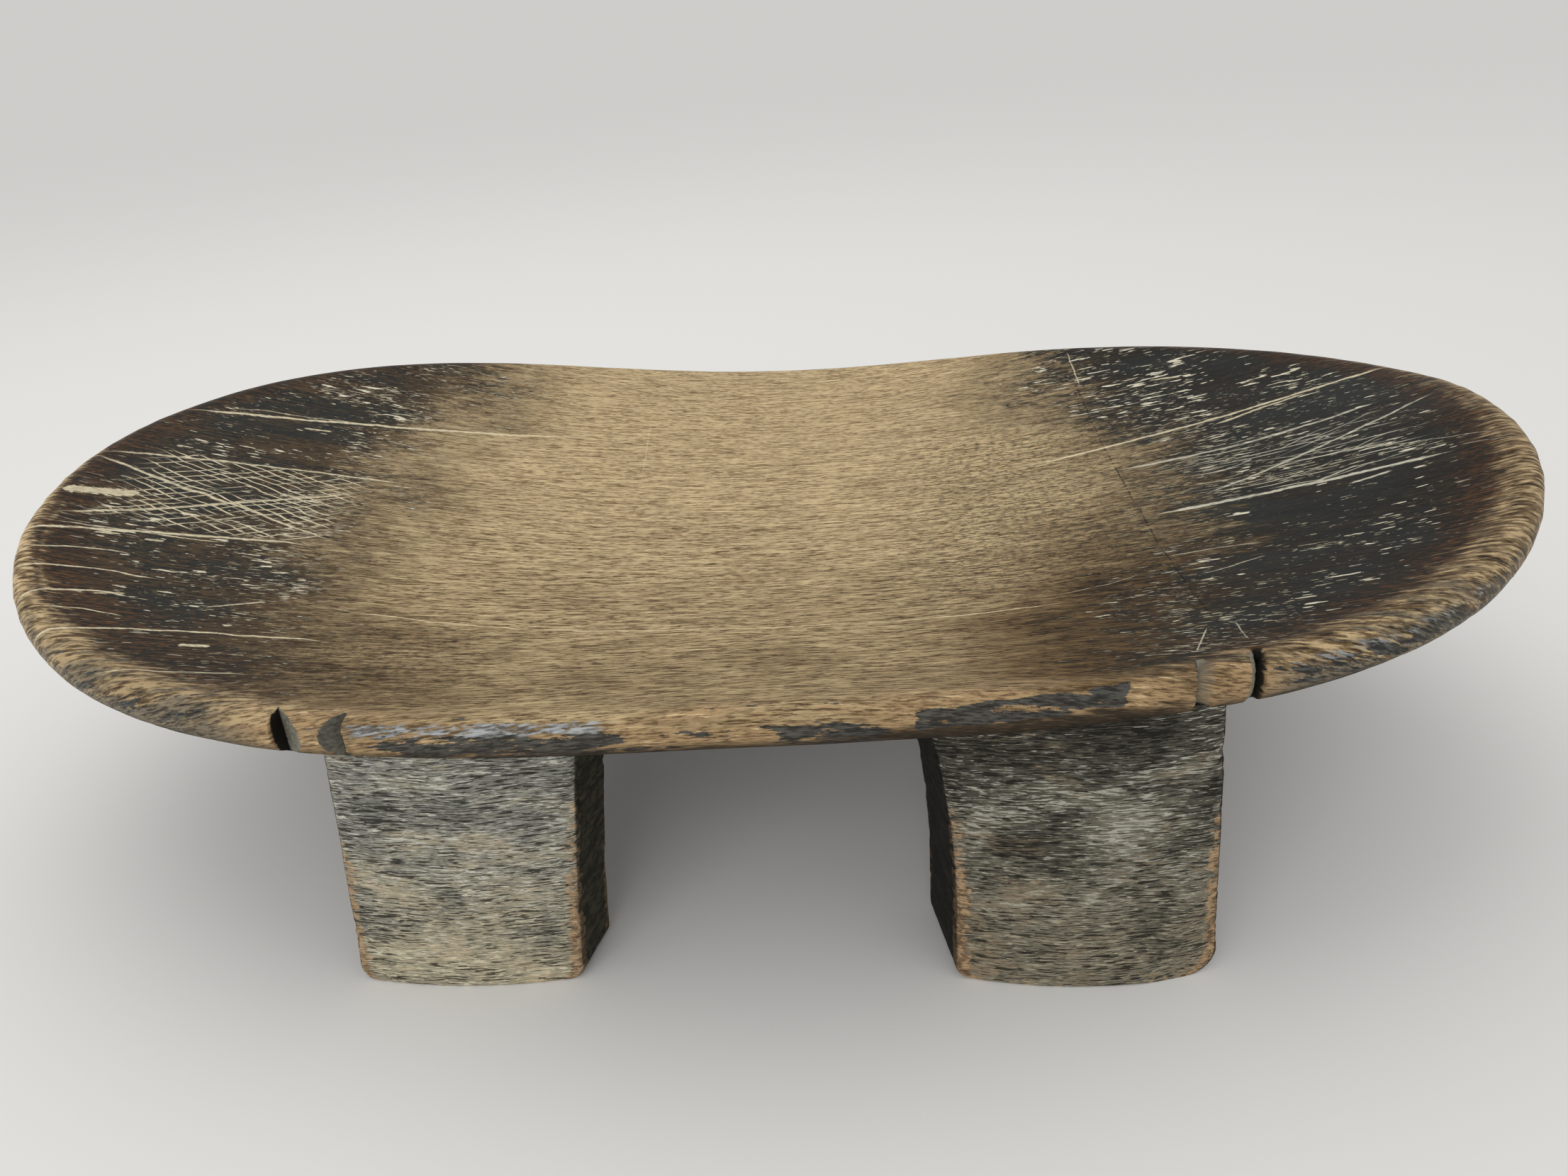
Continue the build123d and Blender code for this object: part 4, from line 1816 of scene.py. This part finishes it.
    def _crack(self) -> Sock:
        """The thin drying crack across the grain at the right, the knot beside it and its rings.

        The knot is an ellipse, and each ring a level of the distance from its middle.

        Returns:
            How dark each place is.
        """
        graph, look, x, y, mottle = self.graph, self.look, self.x, self.y, self.mottle
        sway = graph.noise(self.place, look.crack_sway)
        off = abs(x - (look.crack_place - look.crack_slope * y) + swing(sway, 2.2))
        crack = graph.fall(off, look.crack_edge) * graph.window(y, *look.crack_span)
        crack = crack * graph.rise(mottle, look.crack_gaps)
        knot = graph.math("POWER", (x - 162.0) / 6.0, 2.0) + graph.math("POWER", (y + 16.0) / 4.5, 2.0)
        knot = graph.fall(knot + swing(mottle, 2.5), look.knot_edge)
        aside = graph.math("POWER", (y + 10.0) / 3.2 + swing(sway, 2.0), 2.0)
        away = graph.math("SQRT", aside + graph.math("POWER", (x - 160.0) / 11.0, 2.0))
        arcs = graph.rise(abs(graph.math("FRACT", away) - 0.5), look.arc_edge)
        arcs = arcs * graph.rise(mottle, look.arc_gaps)
        arcs = arcs * graph.window(x, *look.arc_zone.x) * graph.window(y, *look.arc_zone.y)
        return graph.most(crack, knot, arcs * 0.45)


@dataclass(frozen=True)
class Blotch:
    """A soft patch on a leg's outside face, in millimetres: how much warmer and paler it is."""

    place: tuple[float, float]
    size: tuple[float, float]
    warmth: float
    light: float

    def mask(self, graph: Graph, x: Sock, z: Sock) -> Sock:
        """1 in the patch's middle, easing to 0 where the shares of its size, squared, reach 1.

        Args:
            graph: The node tree.
            x: Place along the seat.
            z: Height.

        Returns:
            The mask.
        """
        across = graph.math("POWER", (x - self.place[0]) / self.size[0], 2.0)
        up = graph.math("POWER", (z - self.place[1]) / self.size[1], 2.0)
        return 1.0 - graph.step(across + up, 0.0, 1.0)


@dataclass(frozen=True)
class LegFinish:
    """Dry weathered hardwood: dark hollows between pale raised grain, partly the wood's own and partly
    painted shade, and tan rubbed edges.
    """

    hollow: Colour = (32, 29, 24)
    ground_high: Colour = (144, 143, 134)
    ground_low: Colour = (170, 163, 140)
    grain: Colour = (220, 218, 204)
    low_grain: Colour = (232, 222, 192)
    warm: Colour = (204, 184, 150)
    rubbed: Colour = (196, 162, 122)
    rubbed_dark: Colour = (112, 84, 58)
    # End-grain side faces: the wood's darker end grain, darkened further as painted shade.
    end_dark: Colour = (38, 37, 29)
    end_light: Colour = (70, 67, 53)
    roughness: float = 0.8
    specular: float = 0.2
    blotches: tuple[Blotch, ...] = (
        Blotch((-82.0, 66.0), (18.0, 14.0), 0.11, 0.015),
        Blotch((-116.0, 37.0), (18.0, 12.0), 0.1, 0.015),
        Blotch((-104.0, 78.0), (26.0, 12.0), -0.1, -0.035),
        Blotch((-100.0, 4.0), (55.0, 26.0), 0.04, 0.05),
    )

    sway_noise: Noise = Noise((26.0, 20.0, 16.0), 6.0, 1.0)
    grain_noise: Noise = Noise((6.5, 2.5, 0.6), 1.0, 3.0, 0.58)
    hair_noise: Noise = Noise((3.4, 1.0, 0.34), 2.0)
    cloud_noise: Noise = Noise((30.0, 26.0, 15.0), 3.0, 3.0)
    spot_noise: Noise = Noise((9.0, 9.0, 3.0), 4.0, 3.0, 0.62)
    crumb_noise: Noise = Noise((2.6, 2.6, 2.2), 5.0, 2.0, 0.6)
    split_noise: Noise = Noise((7.5, 2.5, 0.62), 7.0, 2.0, 0.55)
    tuft_noise: Noise = Noise((5.5, 2.0, 0.55), 8.0, 2.0, 0.55)
    ground_levels: Ease = Ease(0.0, 1.0)
    pale_levels: Ease = Ease(0.1, 0.6)
    warm_levels: Ease = Ease(0.5, 0.62)
    hair_levels: Ease = Ease(0.38, 0.45, 0.55)
    tuft_levels: Ease = Ease(0.545, 0.575, 0.8)
    split_levels: Ease = Ease(0.43, 0.46, 0.85)
    dull_levels: Ease = Ease(0.4, 0.62)
    sideways_levels: Ease = Ease(0.5, 0.85)
    rubbed_levels: Ease = Ease(0.42, 0.7)
    bright_levels: Ease = Ease(0.42, 0.58)

    def material(self, name: str) -> bpy.types.Material:
        """Build the finish from the relief kept on the mesh and finer grain between it.

        Args:
            name: Name of the material.

        Returns:
            The material.
        """
        graph = Graph(bpy.data.materials.new(name))
        place = graph.object_place()
        names = ("relief", "corner", "foot_edge", "rise", "end_grain")
        relief, corner, foot, rise, end_grain = (graph.attribute(kept) for kept in names)
        x, y, z = (graph.axis(place, number) for number in range(3))
        sway = graph.noise(place, self.sway_noise) - 0.5
        bent = graph.node("ShaderNodeCombineXYZ", None, {0: x, 1: y, 2: z + sway * 3.0})
        grain = graph.noise(bent, self.grain_noise)
        hair = graph.noise(bent, self.hair_noise)
        cloud = graph.noise(place, self.cloud_noise)
        spots = graph.noise(bent, self.spot_noise)
        crumbs = graph.noise(place, self.crumb_noise)
        warmer, paler = swing(cloud, 0.5), swing(cloud, 0.2)
        for blotch in self.blotches:
            mask = blotch.mask(graph, x, z)
            warmer = warmer + mask * blotch.warmth
            paler = paler + mask * blotch.light

        shift = relief * 0.03 + paler
        splits = graph.noise(bent, self.split_noise)
        tufts = graph.noise(bent, self.tuft_noise)
        lowness = 1.0 - rise + swing(cloud, 1.2) + swing(grain, 1.6) + paler * 4.0
        colour = graph.mix(graph.rise(lowness, self.ground_levels), self.ground_high, self.ground_low)
        pale = graph.mix(graph.rise(rise + (cloud - 0.5), self.pale_levels), self.low_grain, self.grain)
        warmth = graph.rise(spots * 0.7 + hair * 0.3 + warmer - rise * 0.06, self.warm_levels)
        pale = graph.mix(warmth * 0.7, pale, self.warm)
        colour = graph.mix(warmth * 0.2, colour, self.warm)
        # Dark hollows between the raised fibres: partly the wood's own dark grooves, partly painted shade.
        colour = graph.mix(graph.fall(hair + shift, self.hair_levels), colour, self.hollow)
        colour = graph.mix(graph.rise(tufts * 0.75 + hair * 0.25 + shift, self.tuft_levels), colour, pale)
        colour = graph.mix(graph.fall(splits + shift + rise * 0.02, self.split_levels), colour, self.hollow)
        # The end-grain side faces: darker end grain, made darker still by painted shade.
        dull = graph.rise(crumbs * 0.4 + spots * 0.6, self.dull_levels)
        dull = graph.mix(dull, self.end_dark, self.end_light)
        sideways = graph.rise(end_grain, self.sideways_levels)
        colour = graph.mix(sideways, colour, dull)
        wear = graph.most(corner * (1.0 - 0.8 * rise), foot * 0.4)
        rubbed = graph.rise(wear + swing(crumbs, 1.1) + swing(cloud, 0.6), self.rubbed_levels)
        bright = graph.rise(crumbs * 0.6 + hair * 0.4, self.bright_levels)
        bright = graph.mix(bright, self.rubbed_dark, self.rubbed)
        colour = graph.mix(rubbed * 0.75 * (1.0 - 0.7 * sideways), colour, bright)
        height = swing(splits, 1.2) + swing(tufts, 0.9) + swing(hair, 0.5) + swing(crumbs, 0.7) * corner
        return graph.finish(colour, self.roughness + swing(hair, 0.2), height, self.specular)


# The two ends differ by painted light and shade: the left legs carry the lighter, lit colours and the right
# legs a darker, shaded copy of the same wood, their end-grain faces near black.
LEG_FINISHES = {
    End.LEFT: LegFinish(),
    End.RIGHT: LegFinish(
        hollow=(26, 24, 20),
        ground_high=(84, 82, 72),
        ground_low=(132, 126, 108),
        grain=(190, 188, 174),
        low_grain=(182, 173, 148),
        warm=(150, 125, 96),
        end_dark=(17, 17, 14),
        end_light=(40, 38, 31),
        blotches=(
            Blotch((128.0, 70.0), (17.0, 20.0), -0.2, 0.045),
            Blotch((123.0, 36.0), (14.0, 15.0), -0.15, 0.035),
            Blotch((93.0, 76.0), (22.0, 10.0), -0.05, 0.04),
            Blotch((100.0, 42.0), (16.0, 9.0), 0.14, 0.04),
            Blotch((82.0, 14.0), (18.0, 16.0), 0.12, 0.03),
            Blotch((108.0, 100.0), (50.0, 16.0), 0.0, -0.07),
            Blotch((97.0, 59.0), (17.0, 7.0), 0.1, -0.06),
        ),
    ),
}


def put(name: str, data: bpy.types.Camera | bpy.types.Light, axes: Array, place: Place) -> bpy.types.Object:
    """Put a camera or a lamp into the scene.

    Args:
        name: Its name.
        data: The camera or the lamp.
        axes: Its three axes, one column each.
        place: Where it stands.

    Returns:
        The linked object.
    """
    made = bpy.data.objects.new(name, data)
    bpy.context.scene.collection.objects.link(made)
    rows = [[*(float(value) for value in axes[row]), place[row]] for row in range(3)]
    made.matrix_world = Matrix([*rows, [0.0, 0.0, 0.0, 1.0]])
    return made


@dataclass
class Studio:
    """Pale floor, plain soft light and a camera at the photograph's viewing angle."""

    image_width: int = 2212
    focal_pixels: float = 1661.0
    sensor: float = 36.0
    clip_start: float = 0.01
    place: Place = (0.0521, -0.4753, 0.3153)
    yaw: float = -5.0
    pitch: float = 26.83
    roll: float = 4.0
    floor_half: float = 40.0
    floor_colour: Colour = (233, 232, 229)
    floor_roughness: float = 0.9
    world_strength: float = 0.75

    def camera(self) -> None:
        """Place the camera: looking along +Y, turned by the yaw, tilted down, then rolled."""
        data = bpy.data.cameras.new("view")
        data.sensor_width = self.sensor
        data.lens = self.focal_pixels * self.sensor / self.image_width
        data.clip_start = self.clip_start
        p, r, w = radians(self.pitch), radians(self.roll), radians(self.yaw)
        ahead = np.array([0.0, cos(p), -sin(p)])
        right = np.array([1.0, 0.0, 0.0])
        down = np.array([0.0, -sin(p), -cos(p)])
        rolled_right = cos(r) * right + sin(r) * down
        rolled_down = -sin(r) * right + cos(r) * down
        turned = np.array([[cos(w), sin(w), 0.0], [-sin(w), cos(w), 0.0], [0.0, 0.0, 1.0]])
        axes = np.column_stack([turned @ rolled_right, turned @ -rolled_down, turned @ -ahead])
        bpy.context.scene.camera = put("view", data, axes, self.place)

    def floor(self) -> None:
        """Lay the pale floor, which isn't part of the object."""
        h = self.floor_half
        points = np.array([(-h, -h, 0.0), (h, -h, 0.0), (h, h, 0.0), (-h, h, 0.0)])
        floor = make_mesh("floor", points, np.array([[0, 1, 2, 3]]), np.zeros((0, 3), int), 30.0)
        graph = Graph(bpy.data.materials.new("floor_finish"))
        inputs = {"Base Color": paint(*self.floor_colour), "Roughness": self.floor_roughness}
        inputs["Specular IOR Level"] = 0.0
        graph.close(graph.node("ShaderNodeBsdfPrincipled", None, inputs))
        floor.data.materials.append(graph.owner)

    def lamps(self) -> None:
        """Hang two large soft lamps: one above and a little behind, one low in front."""
        self._lamp("above", (-0.35, 0.4, 1.7), (0.0, 0.0, 0.1), 1.6, 6.0)
        self._lamp("front", (-0.5, -1.8, 1.0), (0.0, 0.0, 0.05), 1.4, 9.0)

    @staticmethod
    def _lamp(name: str, place: Place, aim: Place, size: float, power: float) -> None:
        """Hang one square lamp.

        Args:
            name: Its name.
            place: Where it hangs.
            aim: The point that it looks at.
            size: Length of its side.
            power: Power in watts.
        """
        data = bpy.data.lights.new(name, "AREA")
        data.shape = "SQUARE"
        data.size = size
        data.energy = power
        away = np.array(place) - np.array(aim)
        away = away / np.linalg.norm(away)
        side = np.cross((0.0, 0.0, 1.0), away)
        side = side / np.linalg.norm(side)
        put(name, data, np.column_stack([side, np.cross(away, side), away]), place)

    def world(self) -> None:
        """Even pale light all round, and the floor's colour for the camera and reflections."""
        world = bpy.data.worlds.new("studio")
        bpy.context.scene.world = world
        graph = Graph(world)
        backgrounds = [
            graph.node("ShaderNodeBackground", None, {0: colour, 1: self.world_strength})
            for colour in ((1.0, 1.0, 1.0, 1.0), paint(*self.floor_colour))
        ]
        rays = ("Is Camera Ray", "Is Glossy Ray", "Is Transmission Ray")
        direct = graph.most(*(graph.node("ShaderNodeLightPath", output=ray) for ray in rays))
        inputs = {0: direct, 1: backgrounds[0], 2: backgrounds[1]}
        graph.close(graph.node("ShaderNodeMixShader", None, inputs), "ShaderNodeOutputWorld")

    def set_up(self) -> None:
        """Make the whole studio."""
        bpy.context.scene.view_settings.view_transform = "Standard"
        self.camera()
        self.floor()
        self.lamps()
        self.world()


def corners(box: tuple) -> list[list[float]]:
    """A box's two corners as plain lists of numbers."""
    return [[float(value) for value in corner] for corner in box]


def main() -> None:
    """Build the studio, the seat and the four legs."""
    logging.basicConfig(level=logging.INFO, format="%(name)s: %(message)s")
    Studio().set_up()
    low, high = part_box("seat")
    form = SeatForm((high.x - low.x) / 2.0, (high.y - low.y) / 2.0)
    seat = Seat(form)
    seat.dress(seat.build(), SeatFinish())
    for side in Side:
        for end in End:
            leg = Leg(end, side, form, LEG_SHAPES[end])
            leg.dress(leg.build(), LEG_FINISHES[end])


if __name__ == "__main__":
    main()
